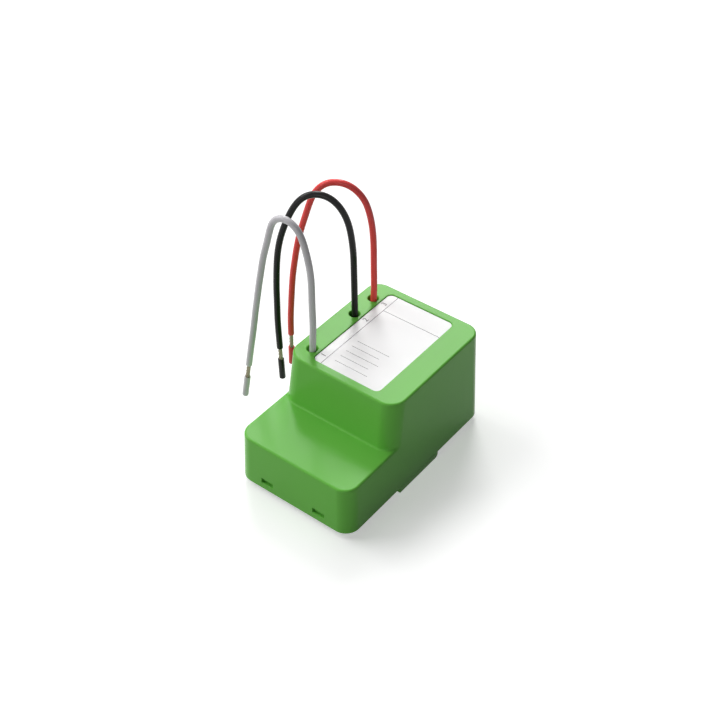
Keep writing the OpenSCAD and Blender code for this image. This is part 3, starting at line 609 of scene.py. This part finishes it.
class SteppedBlock:
    """The drafted block with its step, which the outer skin and the cavity both follow."""

    # Steps round an upright corner, those of them on the side wall, round an upper edge and
    # round the rim
    corner_steps, side_steps, edge_steps, rim_steps = 24, 14, 6, 4

    def __init__(self, s, inset, drop, edge, fillet, foot, rim):
        self.half, self.depth = s.width / MM / 2, s.depth / MM
        self.ledge_h, self.top_h = s.ledge / MM, s.top / MM
        self.step_y, self.lean = s.step / MM, s.lean / MM
        self.corner_r, self.step_r = s.corner / MM, s.step_corner / MM
        self.slope = tan(s.draft)
        self.inset, self.edge, self.fillet, self.foot, self.rim = inset, edge, fillet, foot, rim
        self.ledge, self.top = self.ledge_h - drop, self.top_h - drop

    def wall(self, z):
        """Distance of the side walls from the middle."""
        return self.half - self.inset - z * self.slope

    def axis(self, r, z):
        """Distance from the middle to the axis of a corner, which leans in with the draft."""
        return self.half - r - z * self.slope

    def step_centre(self, z):
        """Distance from the front to the axes of the step's corners."""
        face = self.step_y + (z - self.ledge_h) * self.lean / (self.top_h - self.ledge_h)
        return face + self.step_r

    def rear(self, z, d=0.0):
        """From the right seam round the back to the left seam."""
        x, y = self.axis(self.corner_r, z), self.depth - self.corner_r - z * self.slope
        r, seam = self.corner_r - self.inset - d, self.step_centre(max(z, self.ledge))
        return ([(x + r, seam)] + arc((x, y), r, 0, 90, self.corner_steps)
                + arc((-x, y), r, 90, 180, self.corner_steps) + [(-x - r, seam)])

    def step_front(self, z, d=0.0):
        """Round the step's front, between the seams."""
        x, y, r = self.axis(self.step_r, z), self.step_centre(z), self.step_r - self.inset - d
        return (arc((-x, y), r, 180, 270, self.corner_steps)[1:]
                + arc((x, y), r, 270, 360, self.corner_steps)[:-1])

    def low_front(self, z, d=0.0):
        """Round the low part's front, between the seams, column by column with the step."""
        x, r = self.axis(self.corner_r, z), self.corner_r - self.inset - d
        bend = self.corner_steps - self.side_steps
        seam, reach = self.step_centre(self.ledge), self.step_r - self.inset
        side = [
            (-x - r, seam - reach * sin(radians(90 * i / self.corner_steps)))
            for i in range(1, self.side_steps)
        ]
        left = side + arc((-x, self.corner_r + z * self.slope), r, 180, 270, bend)
        return left + [(-px, py) for px, py in reversed(left)]

    def round_drop(self, d):
        """How far the rounded upper edge lies below the ledge, at a distance from the wall."""
        return self.edge - sqrt(self.edge ** 2 - (self.edge - d) ** 2) if d < self.edge else 0.0

    def fillet_rise(self, d):
        """How far the fillet lies above the ledge, at a distance from the step."""
        near = max(d, 0.0)
        return (self.fillet - sqrt(self.fillet ** 2 - (self.fillet - near) ** 2)
                if near < self.fillet else 0.0)

    def ledge_columns(self):
        """Columns of points from the low wall's top, over the ledge, to the step's foot."""
        n, m = self.corner_steps, self.edge_steps
        turns = [radians(90 * j / m) for j in range(m + 1)]
        r, cy = self.step_r - self.inset, self.step_centre(self.ledge)
        cx, side = self.axis(self.step_r, self.ledge), self.wall(self.ledge)
        low_z, high_z = self.ledge - self.edge, self.ledge + self.fillet
        columns = []
        for i in range(1, n + 1):
            phi = radians(90 * i / n)
            foot = (-cx - r * cos(phi), cy - r * sin(phi))
            column = []
            if i < self.side_steps:
                # Near the seam the rounded edge and the fillet run into each other
                wide = side + foot[0]
                reach = min(self.edge, wide / 2)
                spans = [reach * (1 - cos(a)) for a in turns]
                spans += [wide - s for s in reversed(spans)]
                for t in spans:
                    x = t - side
                    near = hypot(x + cx, foot[1] - cy) - r
                    z = self.ledge - self.round_drop(t) + self.fillet_rise(near)
                    column.append((x, foot[1], z))
                z = column[0][2]
                column[0] = (-self.wall(z), foot[1], z)
                z = column[-1][2]
                column[-1] = (*self.step_front(z)[i - 1], z)
            else:
                for a in turns:
                    z = low_z + self.edge * sin(a)
                    x, y = self.low_front(low_z, self.edge * (1 - cos(a)))[i - 1]
                    column.append((x, y, z))
                for a in reversed(turns):
                    z = high_z - self.fillet * sin(a)
                    x, y = self.step_front(high_z, -self.fillet * (1 - cos(a)))[i - 1]
                    column.append((x, y, z))
            columns.append(column)
        return columns + [[(-x, y, z) for x, y, z in column] for column in reversed(columns)]

    def build(self, name):
        """The closed block as an object, in the row's frame."""
        bm = bmesh.new()

        def add(points, z=None):
            return [bm.verts.new(placed(*p) if z is None else placed(*p, z)) for p in points]

        def skin(low, high):
            for i in range(len(low)):
                k = (i + 1) % len(low)
                bm.faces.new((low[i], low[k], high[k], high[i]))

        seam_z = self.ledge - self.edge + self.fillet
        shoulder = self.top - self.edge
        columns = self.ledge_columns()
        feet = []
        if self.rim:
            for k in range(self.rim_steps + 1):
                a = radians(90 * k / self.rim_steps)
                z = self.foot + self.rim * (1 - cos(a))
                d = self.rim * (1 - sin(a))
                feet.append(add(self.rear(z, d) + self.low_front(z, d), z))
        else:
            feet.append(add(self.rear(self.foot) + self.low_front(self.foot), self.foot))
        for low, high in zip(feet, feet[1:]):
            skin(low, high)
        rear = add(self.rear(seam_z), seam_z)
        grid = [add(column) for column in columns]
        skin(feet[-1], rear + [column[0] for column in grid])
        left, right = rear[-1], rear[0]
        for low, high in zip(grid[0], grid[0][1:]):
            bm.faces.new((left, low, high))
        for low, high in zip(grid[-1], grid[-1][1:]):
            bm.faces.new((low, right, high))
        for one, two in zip(grid, grid[1:]):
            for j in range(len(one) - 1):
                bm.faces.new((one[j], two[j], two[j + 1], one[j + 1]))
        row = rear + [column[-1] for column in grid]
        for k in range(self.edge_steps + 1):
            a = radians(90 * k / self.edge_steps)
            z, d = shoulder + self.edge * sin(a), self.edge * (1 - cos(a))
            above = add(self.rear(shoulder, d) + self.step_front(shoulder, d), z)
            skin(row, above)
            row = above
        bm.faces.new(row)
        bm.faces.new(feet[0][::-1])
        return show(name, mesh_from(bm, name))


def lead_holes(leads, housing):
    """Middles of the three lead holes, in the housing's millimetres."""
    x = (leads.inset - housing.width / 2) / MM
    return [(x, lead.hole) for lead in LEADS]


def label_frame(scene):
    """Middle and size of the label's recess, in the housing's millimetres."""
    s, label = scene.dimmer_housing, scene.dimmer_label
    left = lead_holes(scene.dimmer_leads, s)[0][0] + label.left / MM
    right = (s.width / 2 - label.right) / MM
    front, back = (s.step + label.front) / MM, (s.depth - label.back) / MM
    return ((left + right) / 2, (front + back) / 2), (right - left, back - front)


def collar_foot(s, leads):
    return s.top / MM - s.roof / MM - leads.collar_depth / MM


def cavity(s, leads):
    """The hollow of the housing, with its collars and ribs left standing."""
    wall, roof, top = s.wall / MM, s.roof / MM, s.top / MM
    block = SteppedBlock(s, wall, roof, s.edge / MM / 2, s.fillet / MM / 2, -PAST, 0.0)
    hollow = block.build("cavity")
    bm = bmesh.new()
    for hole in lead_holes(leads, s):
        outline = circle(hole, leads.collar / MM / 2, COLLAR_SIDES)
        add_rings(bm, [[(*p, z) for p in outline] for z in (collar_foot(s, leads), top)])
    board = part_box("power_board")[1]
    over, edge = board[2] / MM - RIM + RIB_GAP, board[0] / MM - RIB_REACH
    for y in RIBS:
        roof_z = s.ledge / MM if y < s.step / MM else top
        for side in (-1, 1):
            left, right = sorted((side * edge, side * s.width / MM / 2))
            add_box(bm, (left, y - RIB_HALF, over), (right, y + RIB_HALF, roof_z + RIB_GAP))
    return carve(hollow, [show("collars", mesh_from(bm, "collars"))])


def openings(scene):
    """What is cut into the housing from outside: lead holes, label recess and snap windows."""
    s, leads, label = scene.dimmer_housing, scene.dimmer_leads, scene.dimmer_label
    top, depth = s.top / MM, s.depth / MM
    bm = bmesh.new()
    for hole in lead_holes(leads, s):
        add_rings(bm, flared(lambda d: circle(hole, leads.hole / MM / 2 + d, HOLE_SIDES),
                             collar_foot(s, leads) - PAST, top, leads.hole_rim / MM))
    middle, size = label_frame(scene)
    corner = label.corner / MM
    add_rings(bm, flared(
        lambda d: round_rectangle(middle, (size[0] + 2 * d, size[1] + 2 * d), corner + d),
        top - label.recess / MM, top, s.break_r / MM))
    width, height, level_z = s.window_w / MM, s.window_h / MM, s.window_z / MM
    for side in (-1, 1):
        for x in (-s.window_x / MM, s.window_x / MM):
            rings = flared(
                lambda d: round_rectangle((x, level_z), (width + 2 * d, height + 2 * d),
                                          WINDOW_CORNER + d, WINDOW_STEPS),
                -s.wall / MM - PAST, -level_z * tan(s.draft), s.break_r / MM)
            add_rings(bm, [[(px, -out if side < 0 else depth + out, pz)
                            for px, pz, out in ring] for ring in rings])
    return show("openings", mesh_from(bm, "openings"))


class DIMMER_OT_housing(bpy.types.Operator):
    """Builds the stepped green housing with its cavity, holes, windows and label recess"""

    bl_idname = "dimmer.housing"
    bl_label = "Housing"

    def execute(self, context):
        scene = context.scene
        s = scene.dimmer_housing
        block = SteppedBlock(s, 0.0, 0.0, s.edge / MM, s.fillet / MM, 0.0, s.rim / MM)
        outer = block.build("housing")
        shell = carve(outer, [cavity(s, scene.dimmer_leads), openings(scene)])
        if len(shell.data.polygons) < CUT_FACES:
            raise RuntimeError("the housing's openings could not be cut")
        coat(shell, moulded_plastic("green_moulding", chosen("green")))
        finish_piece(smoothed(shell), BODY, "green_housing", "housing_shell")
        return {"FINISHED"}


class DIMMER_OT_cover(bpy.types.Operator):
    """Gives the base cover broken edges and its plastic"""

    bl_idname = "dimmer.cover"
    bl_label = "Base cover"

    def execute(self, context):
        bm = bmesh.new()
        bm.from_mesh(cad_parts["base_cover"].data)
        bmesh.ops.remove_doubles(bm, verts=bm.verts, dist=2 * MICRON)
        bmesh.ops.dissolve_limit(bm, angle_limit=radians(1), verts=bm.verts, edges=bm.edges)
        piece = show("cover", mesh_from(bm, "cover"),
                     moulded_plastic("green_cover_moulding", chosen("green")))
        edge = piece.modifiers.new("Broken edges", "BEVEL")
        edge.width = 0.12 * MM
        edge.segments = 2
        edge.limit_method = "ANGLE"
        edge.angle_limit = radians(50)
        piece = settled(piece, "cover")
        finish_piece(smoothed(piece, limit=40), BODY, "green_cover", "base_cover")
        return {"FINISHED"}


# ---- Label ----

class DIMMER_OT_label(bpy.types.Operator):
    """Builds the label film with its printed rules and lead numbers"""

    bl_idname = "dimmer.label"
    bl_label = "Label"

    def execute(self, context):
        scene = context.scene
        label = scene.dimmer_label
        middle, size = label_frame(scene)
        gap, corner = label.gap / MM, label.corner / MM
        floor = (scene.dimmer_housing.top - label.recess) / MM
        top = floor + label.thickness / MM
        size = (size[0] - 2 * gap, size[1] - 2 * gap)
        edge, part = 0.06, 0.02
        bm = bmesh.new()
        add_rings(bm, [
            [(*p, z) for p in round_rectangle(middle, (size[0] - 2 * d, size[1] - 2 * d),
                                              corner - gap - d)]
            for d, z in ((0, floor), (0, top - edge), (part, top - part), (edge, top))])
        sheet = show("label", mesh_from(bm, "label"), label_stock("label_film", chosen("paper")))
        finish_piece(smoothed(sheet), BODY, "label", "label_sheet")

        # Printed rules: a column beside the holes, a heading line and five short lines
        left, right = middle[0] - size[0] / 2, middle[0] + size[0] / 2
        front, back = middle[1] - size[1] / 2, middle[1] + size[1] / 2
        rule, margin, sunk, proud = label.rule / MM, 0.1, 0.02, 0.012
        column, heading = left + 3.55, back - 9.2
        indent, line_end, uneven, first, pitch, thin = 3.0, 17.0, 2.0, 17.0, 3.2, 0.7
        bars = [(column, front + margin, column + rule, back - margin),
                (column + rule, heading, right - margin, heading + rule)]
        for k in range(5):
            y = front + first - pitch * k
            bars.append((column + indent, y, column + line_end - uneven * (k % 2),
                         y + rule * thin))
        bm = bmesh.new()
        for x0, y0, x1, y1 in bars:
            add_box(bm, (x0, y0, top - sunk), (x1, y1, top + proud))
        ink = printed_ink("label_ink", chosen("ink"))
        finish_piece(show("label_rules", mesh_from(bm, "label_rules"), ink), BODY, "label")

        for lead, numeral in zip(LEADS, "123"):
            curve = bpy.data.curves.new("numeral", "FONT")
            curve.body = numeral
            curve.size = label.numeral
            curve.align_x, curve.align_y = "CENTER", "CENTER"
            curve.extrude = 16 * MICRON
            curve.resolution_u = 6
            mark = settled(bpy.data.objects.new("numeral", curve), f"{lead.name}_number")
            place = placed((left + column) / 2, lead.hole, top)
            mark.data.transform(Matrix.Translation(place) @ Matrix.Rotation(pi / 2, 4, "Z"))
            coat(mark, ink)
            finish_piece(mark, BODY, "label")
        return {"FINISHED"}


# ---- Leads ----

def spline_through(points, step):
    """Points at an even step along a natural cubic through the given ones, then evened out."""
    p = np.array(points, float)
    t = np.concatenate([[0], np.cumsum(np.linalg.norm(np.diff(p, axis=0), axis=1))])
    n, h = len(p), np.diff(t)
    system, goal = np.eye(n), np.zeros((n, 3))
    for i in range(1, n - 1):
        system[i, i - 1:i + 2] = h[i - 1], 2 * (h[i - 1] + h[i]), h[i]
        goal[i] = 6 * ((p[i + 1] - p[i]) / h[i] - (p[i] - p[i - 1]) / h[i - 1])
    bend = np.linalg.solve(system, goal)
    out = []
    for s in np.linspace(0, t[-1], int(t[-1] / step) + 1):
        i = min(int(np.searchsorted(t, s, "right")) - 1, n - 2)
        a, b = (t[i + 1] - s) / h[i], (s - t[i]) / h[i]
        out.append(a * p[i] + b * p[i + 1]
                   + ((a ** 3 - a) * bend[i] + (b ** 3 - b) * bend[i + 1]) * h[i] ** 2 / 6)
    out = np.array(out)
    for _ in range(ROUTE_PASSES):
        out[1:-1] = out[1:-1] / 2 + (out[:-2] + out[2:]) / 4
    return out


def lead_route(housing, leads, lead):
    """Points of a lead's free stretch in the row's frame, and the way it ends."""
    x = (leads.inset - housing.width / 2) / MM + LEAN[0]
    y, top = lead.hole + LEAN[1], housing.top / MM
    heading = radians(lead.heading)
    points = [placed(x + out * cos(heading), y + out * sin(heading), top + up)
              for out, up in lead.route]
    end = (points[-1] - points[-2]).normalized()
    return [Vector(p) for p in spline_through(points, ROUTE_STEP * MM)], end


def follow_path(name, points, build, settings, material):
    """A mesh made along a path by a node tree, with its inputs set by name."""
    curve = bpy.data.curves.new(name, "CURVE")
    curve.dimensions = "3D"
    spline = curve.splines.new("POLY")
    spline.points.add(len(points) - 1)
    for place, point in zip(spline.points, points):
        place.co = (*point, 1.0)
    piece = show(name + "_path", curve)
    tree = build()
    modifier = piece.modifiers.new("Follow", "NODES")
    modifier.node_group = tree
    settings = {**settings, "Material": material}
    for item in tree.interface.items_tree:
        if item.item_type == "SOCKET" and item.in_out == "INPUT" and item.name in settings:
            modifier[item.identifier] = settings[item.name]
    done = settled(piece, name)
    bpy.data.node_groups.remove(tree)
    if not done.data.polygons:
        raise RuntimeError(f"{name}: nothing was made along its path")
    coat(done, material)
    return done


def new_tree(name, sockets):
    """A geometry tree with named inputs. Returns its graph and a dict of its input sockets."""
    tree = bpy.data.node_groups.new(name, "GeometryNodeTree")
    tree.interface.new_socket(name="Geometry", in_out="INPUT", socket_type="NodeSocketGeometry")
    for label, kind, default in sockets:
        made = tree.interface.new_socket(name=label, in_out="INPUT",
                                         socket_type="NodeSocket" + kind)
        if default is not None:
            made.default_value = default
    tree.interface.new_socket(name="Geometry", in_out="OUTPUT",
                              socket_type="NodeSocketGeometry")
    graph = Graph(tree)
    start = graph.node("NodeGroupInput")
    return graph, {socket.name: socket for socket in start.outputs if socket.name}


def end_tree(graph, geometry, material):
    """Ends a tree in Realize Instances and Set Material."""
    real = graph.node("GeometryNodeRealizeInstances", None, {"Geometry": geometry})
    dyed = graph.node("GeometryNodeSetMaterial", None,
                      {"Geometry": real.outputs[0], "Material": material})
    graph.node("NodeGroupOutput", None, {"Geometry": dyed.outputs[0]})
    return graph.tree


def sweep(graph, curve, sides, radius):
    """A closed tube along a curve."""
    profile = graph.node("GeometryNodeCurvePrimitiveCircle", {"mode": "RADIUS"},
                         {"Resolution": sides, "Radius": 1.0})
    node = graph.node("GeometryNodeCurveToMesh", None, {
        "Curve": curve, "Profile Curve": profile.outputs[0], "Scale": radius,
        "Fill Caps": True})
    return node.outputs[0]


def insulation_tree():
    """A tube along the path, with its far edge rounded where it was cut."""
    graph, given = new_tree("Insulation", (
        ("Radius", "Float", 0.0012), ("Sides", "Int", 28),
        ("Cut Rounding", "Float", CUT_EDGE * MM), ("Material", "Material", None)))
    along = graph.node("GeometryNodeSplineParameter")
    whole = graph.node("GeometryNodeSplineLength")
    rounding = Value(graph, given["Cut Rounding"])
    left = graph.value(whole) - graph.value(along, "Length")
    lack = graph.maths("MAXIMUM", 1 - left / rounding, 0.0)
    bite = rounding * (1 - graph.maths("SQRT", 1 - lack * lack))
    tube = sweep(graph, given["Geometry"], given["Sides"],
                 Value(graph, given["Radius"]) - bite)
    return end_tree(graph, tube, given["Material"])


def strands_tree():
    """Round strands twisted about the path: one in the middle and five round it."""
    graph, given = new_tree("Strands", (
        ("Bundle Radius", "Float", 0.0008), ("Lay", "Float", 0.0075),
        ("Material", "Material", None)))
    strand = Value(graph, given["Bundle Radius"]) / 3
    along = graph.value(graph.node("GeometryNodeSplineParameter"), "Length")
    normal = graph.node("GeometryNodeInputNormal").outputs[0]
    tangent = graph.node("GeometryNodeInputTangent").outputs[0]
    across = graph.vector("CROSS_PRODUCT", {0: tangent, 1: normal})
    layers = graph.node("GeometryNodeJoinGeometry")
    sides, slack = 12, 0.98
    for layer, count in enumerate((1, 5)):
        copies = graph.node("GeometryNodeDuplicateElements", {"domain": "SPLINE"},
                            {"Geometry": given["Geometry"], "Amount": count})
        index = graph.value(copies, "Duplicate Index")
        turn = index * (2 * pi / count) + along / Value(graph, given["Lay"]) * (2 * pi)
        out = strand * (2.0 * layer)
        one, two = (
            graph.vector("SCALE", {"Vector": way, "Scale": graph.maths(part, turn) * out})
            for way, part in ((normal, "COSINE"), (across, "SINE")))
        moved = graph.node("GeometryNodeSetPosition", None, {
            "Geometry": copies.outputs[0], "Offset": graph.vector("ADD", {0: one, 1: two})})
        graph.put(layers.inputs[0], sweep(graph, moved.outputs[0], sides, strand * slack))
    return end_tree(graph, layers.outputs[0], given["Material"])


def end_sleeve(name, start, way, long, s, material):
    """The cut piece of insulation on the strands: a tube with its bore and broken edges."""
    outer, bore = s.insulation / 2, s.bundle / 2 + s.sleeve_gap
    edge = 0.08 * MM
    foot = [(bore, edge), (bore + edge, 0), (outer - 1.5 * edge, 0),
            (outer - 0.4 * edge, 0.5 * edge), (outer, 1.5 * edge)]
    profile = foot + [(r, long - z) for r, z in reversed(foot)]
    turn = way.to_track_quat("Z", "Y").to_matrix()
    bm = bmesh.new()
    rings = [[start + turn @ Vector((r * cos(2 * pi * k / s.sides),
                                     r * sin(2 * pi * k / s.sides), z))
              for k in range(s.sides)] for r, z in profile]
    rows = loft(bm, rings, cap=False)
    for k in range(s.sides):
        j = (k + 1) % s.sides
        bm.faces.new((rows[-1][k], rows[-1][j], rows[0][j], rows[0][k]))
    return show(name, mesh_from(bm, name), material)


class DIMMER_OT_leads(bpy.types.Operator):
    """Builds the three leads: insulation, twisted strands and end sleeves"""

    bl_idname = "dimmer.leads"
    bl_label = "Leads"

    def execute(self, context):
        scene = context.scene
        s = scene.dimmer_leads
        bright = tinned_strands("tinned_copper_strands", chosen("strands"))
        for lead in LEADS:
            name, bare, sleeve = lead.name, lead.bare * MM, lead.sleeve * MM
            skin = wire_insulation(f"{name}_insulation", chosen(name))
            path, end = lead_route(scene.dimmer_housing, s, lead)
            tip = path[-1]
            near = [tip - end * (CUT_STEP * MM * k) for k in range(CUT_POINTS, 0, -1)]
            tube = follow_path(f"{name}_insulation", path[:-1] + near + [tip], insulation_tree,
                               {"Radius": s.insulation / 2, "Sides": s.sides}, skin)
            tube = smoothed(tube, limit=50)
            first = tip - end * (STRANDS_IN * MM)
            reach = STRANDS_IN * MM + bare + sleeve - STRANDS_SHORT * MM
            steps = 90
            wires = follow_path(f"{name}_bare_strands",
                                [first + end * (reach * k / steps) for k in range(steps + 1)],
                                strands_tree, {"Bundle Radius": s.bundle / 2, "Lay": s.lay},
                                bright)
            wires = smoothed(wires, limit=50)
            cap = end_sleeve(f"{name}_end_sleeve", tip + end * bare, end, sleeve, s, skin)
            cap = smoothed(cap, limit=60)
            finish_piece(tube, BODY, lead.slot, f"{name}_lead")
            finish_piece(wires, BODY, "tinned_strands", f"{name}_strands")
            finish_piece(cap, f"{name}_sleeve_body", lead.slot, f"{name}_sleeve")
            coat(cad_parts[f"{name}_lead_root"], skin)
        return {"FINISHED"}


# ---- Boards and parts inside ----

class DIMMER_OT_inside(bpy.types.Operator):
    """Gives the boards and the parts on them their finishes"""

    bl_idname = "dimmer.inside"
    bl_label = "Boards and parts"

    def execute(self, context):
        tin = bright_metal("tin_plate", srgb(198, 197, 192), 0.3)
        ferrite = matt_case("ferrite", srgb(52, 52, 55), 0.6, 0.4, 10)
        black = matt_case("black_moulding", srgb(30, 30, 32), 0.5)
        finishes = {
            "power_board": circuit_board("power_board_mask", srgb(18, 84, 46),
                                         srgb(40, 118, 68)),
            "radio_board": circuit_board("radio_board_mask", srgb(20, 52, 102),
                                         srgb(42, 82, 138)),
            "power_transistors": chip_with_legs("transistor_case", "power_transistors", 4.3),
            "thermal_pad": matt_case("silicone_pad", srgb(150, 158, 184), 0.7, 0.5),
            "heat_spreader": bright_metal("aluminium_sheet", srgb(200, 203, 207), 0.32, 0.8,
                                          (0.05, 1, 1)),
            "fuse": matt_case("fuse_case", srgb(112, 66, 40), 0.35),
            "surge_varistor": matt_case("dipped_epoxy", srgb(32, 78, 156), 0.3, 1.2, 20),
            "film_capacitor": matt_case("film_case", srgb(206, 178, 58), 0.38),
            "choke_core": ferrite,
            "choke_winding": wound_wire("choke_wire", srgb(184, 98, 48), 0.9),
            "transformer_core": ferrite,
            "transformer_bobbin": black,
            "transformer_winding": matt_case("winding_tape", srgb(222, 190, 62), 0.25, 0.9),
            "bulk_capacitors": capacitor_sleeve("capacitor_sleeve", "bulk_capacitors",
                                                srgb(34, 44, 98)),
            "bridge_rectifier": chip_with_legs("bridge_case", "bridge_rectifier", 4.0),
            "supply_chip": chip_with_legs("supply_case", "supply_chip", 1.95),
            "gate_driver": chip_with_legs("driver_case", "gate_driver", 3.4),
            "current_shunt": chip_with_legs("shunt_case", "current_shunt", 2.2),
            "wire_terminals": bright_metal("terminal_brass", srgb(198, 164, 92), 0.3),
            "board_spacers": matt_case("spacer_nylon", srgb(226, 224, 212), 0.42),
            "header_body": black,
            "header_pins": bright_metal("pin_gold", srgb(212, 176, 92), 0.22),
            "control_chip": matt_case("control_case", srgb(28, 28, 30), 0.5),
            "shield_can": tin,
            "crystal": tin,
            "antenna": bright_metal("antenna_sheet", srgb(206, 200, 182), 0.34),
        }
        for name, material in finishes.items():
            coat(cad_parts[name], material)
        return {"FINISHED"}


# ---- Stage ----

def seen_directly(graph):
    """1 for rays from the camera and for rays that show the background in gloss or glass."""
    path = graph.node("ShaderNodeLightPath")
    rays = [graph.value(path, name) for name in
            ("Is Camera Ray", "Is Glossy Ray", "Is Transmission Ray")]
    return graph.maths("MAXIMUM", graph.maths("MAXIMUM", rays[0], rays[1]), rays[2])


def sun(name, power, turn, height, width):
    """A soft light from a turn (0 is on the -Y side) and a height above the horizon."""
    data = bpy.data.lights.new(name, "SUN")
    data.energy = pi * power
    data.angle = width
    lamp = bpy.data.objects.new(name, data)
    way = Vector((sin(turn) * cos(height), -cos(turn) * cos(height), sin(height)))
    lamp.rotation_euler = way.to_track_quat("Z", "Y").to_euler()
    lamp.location = way
    bpy.context.scene.collection.objects.link(lamp)


class DIMMER_OT_stage(bpy.types.Operator):
    """Sets up the camera, the pale floor and the soft studio light"""

    bl_idname = "dimmer.stage"
    bl_label = "Stage"

    def execute(self, context):
        scene, s = context.scene, context.scene.dimmer_stage
        data = bpy.data.cameras.new("camera")
        data.sensor_width = 36.0
        data.lens = s.lens
        data.clip_start, data.clip_end = 0.01, 20.0
        camera = bpy.data.objects.new("camera", data)
        camera.location = s.place
        camera.rotation_euler = (pi / 2 - s.elevation, 0.0, s.azimuth)
        scene.collection.objects.link(camera)
        scene.camera = camera
        scene.view_settings.view_transform = "Standard"

        world = bpy.data.worlds.new("studio")
        world.use_nodes = True
        scene.world = world
        graph = Graph(world.node_tree)
        world.node_tree.nodes.clear()
        shown = graph.node("ShaderNodeBackground", None,
                           {"Color": (1.0, 1.0, 1.0), "Strength": seen_directly(graph)})
        graph.node("ShaderNodeOutputWorld", None, {"Surface": shown.outputs[0]})

        bm = bmesh.new()
        bmesh.ops.create_grid(bm, x_segments=2, y_segments=2, size=3.0)
        floor = show("floor", mesh_from(bm, "floor"), studio_floor("studio_floor", s))
        for name, turn, height, width in LIGHTS:
            sun(f"{name}_light", getattr(s, name), s.azimuth - radians(turn), radians(height),
                radians(width))
        return {"FINISHED"}


def studio_floor(name, s):
    """A pale sweep that shows as white where it is lit and keeps the module's soft shadow."""
    paint = Finish(name)
    paint.set(base_color=(s.floor, s.floor, s.floor), roughness=0.9, specular_ior_level=0.0)
    pale = paint.node("ShaderNodeBsdfDiffuse", None,
                      {"Color": (s.backdrop, s.backdrop, s.backdrop)})
    glow = paint.node("ShaderNodeEmission", None,
                      {"Color": (1.0, 1.0, 1.0), "Strength": s.glow})
    both = paint.node("ShaderNodeAddShader", None, {0: pale.outputs[0], 1: glow.outputs[0]})
    mixed = paint.node("ShaderNodeMixShader", None, {
        0: seen_directly(paint), 1: paint.shader.outputs[0], 2: both.outputs[0]})
    paint.put(paint.output.inputs["Surface"], mixed.outputs[0])
    return paint.material


# ---- Panel and start ----

OPERATORS = (DIMMER_OT_stage, DIMMER_OT_leads, DIMMER_OT_housing, DIMMER_OT_cover,
             DIMMER_OT_label, DIMMER_OT_inside)
GROUPS = {"dimmer_housing": DimmerHousing, "dimmer_label": DimmerLabel,
          "dimmer_leads": DimmerLeads, "dimmer_finish": DimmerFinish,
          "dimmer_stage": DimmerStage}


class DIMMER_PT_panel(bpy.types.Panel):
    """Lists the module's sizes, colours and builders"""

    bl_idname = "DIMMER_PT_panel"
    bl_label = "Dimmer module"
    bl_space_type = "VIEW_3D"
    bl_region_type = "UI"
    bl_category = "Dimmer"

    def draw(self, context):
        for operator in OPERATORS:
            self.layout.operator(operator.bl_idname)
        for name in GROUPS:
            group = getattr(context.scene, name)
            box = self.layout.box()
            box.label(text=name.split("_")[1].title())
            for key in group.__annotations__:
                box.prop(group, key)


def register():
    for kind in (*GROUPS.values(), *OPERATORS, DIMMER_PT_panel):
        bpy.utils.register_class(kind)
    for name, group in GROUPS.items():
        setattr(bpy.types.Scene, name, PointerProperty(type=group))


def unregister():
    for name in GROUPS:
        delattr(bpy.types.Scene, name)
    for kind in reversed((*GROUPS.values(), *OPERATORS, DIMMER_PT_panel)):
        bpy.utils.unregister_class(kind)


def main():
    register()
    for operator in OPERATORS:
        group, action = operator.bl_idname.split(".")
        getattr(getattr(bpy.ops, group), action)()


if __name__ == "__main__":
    main()
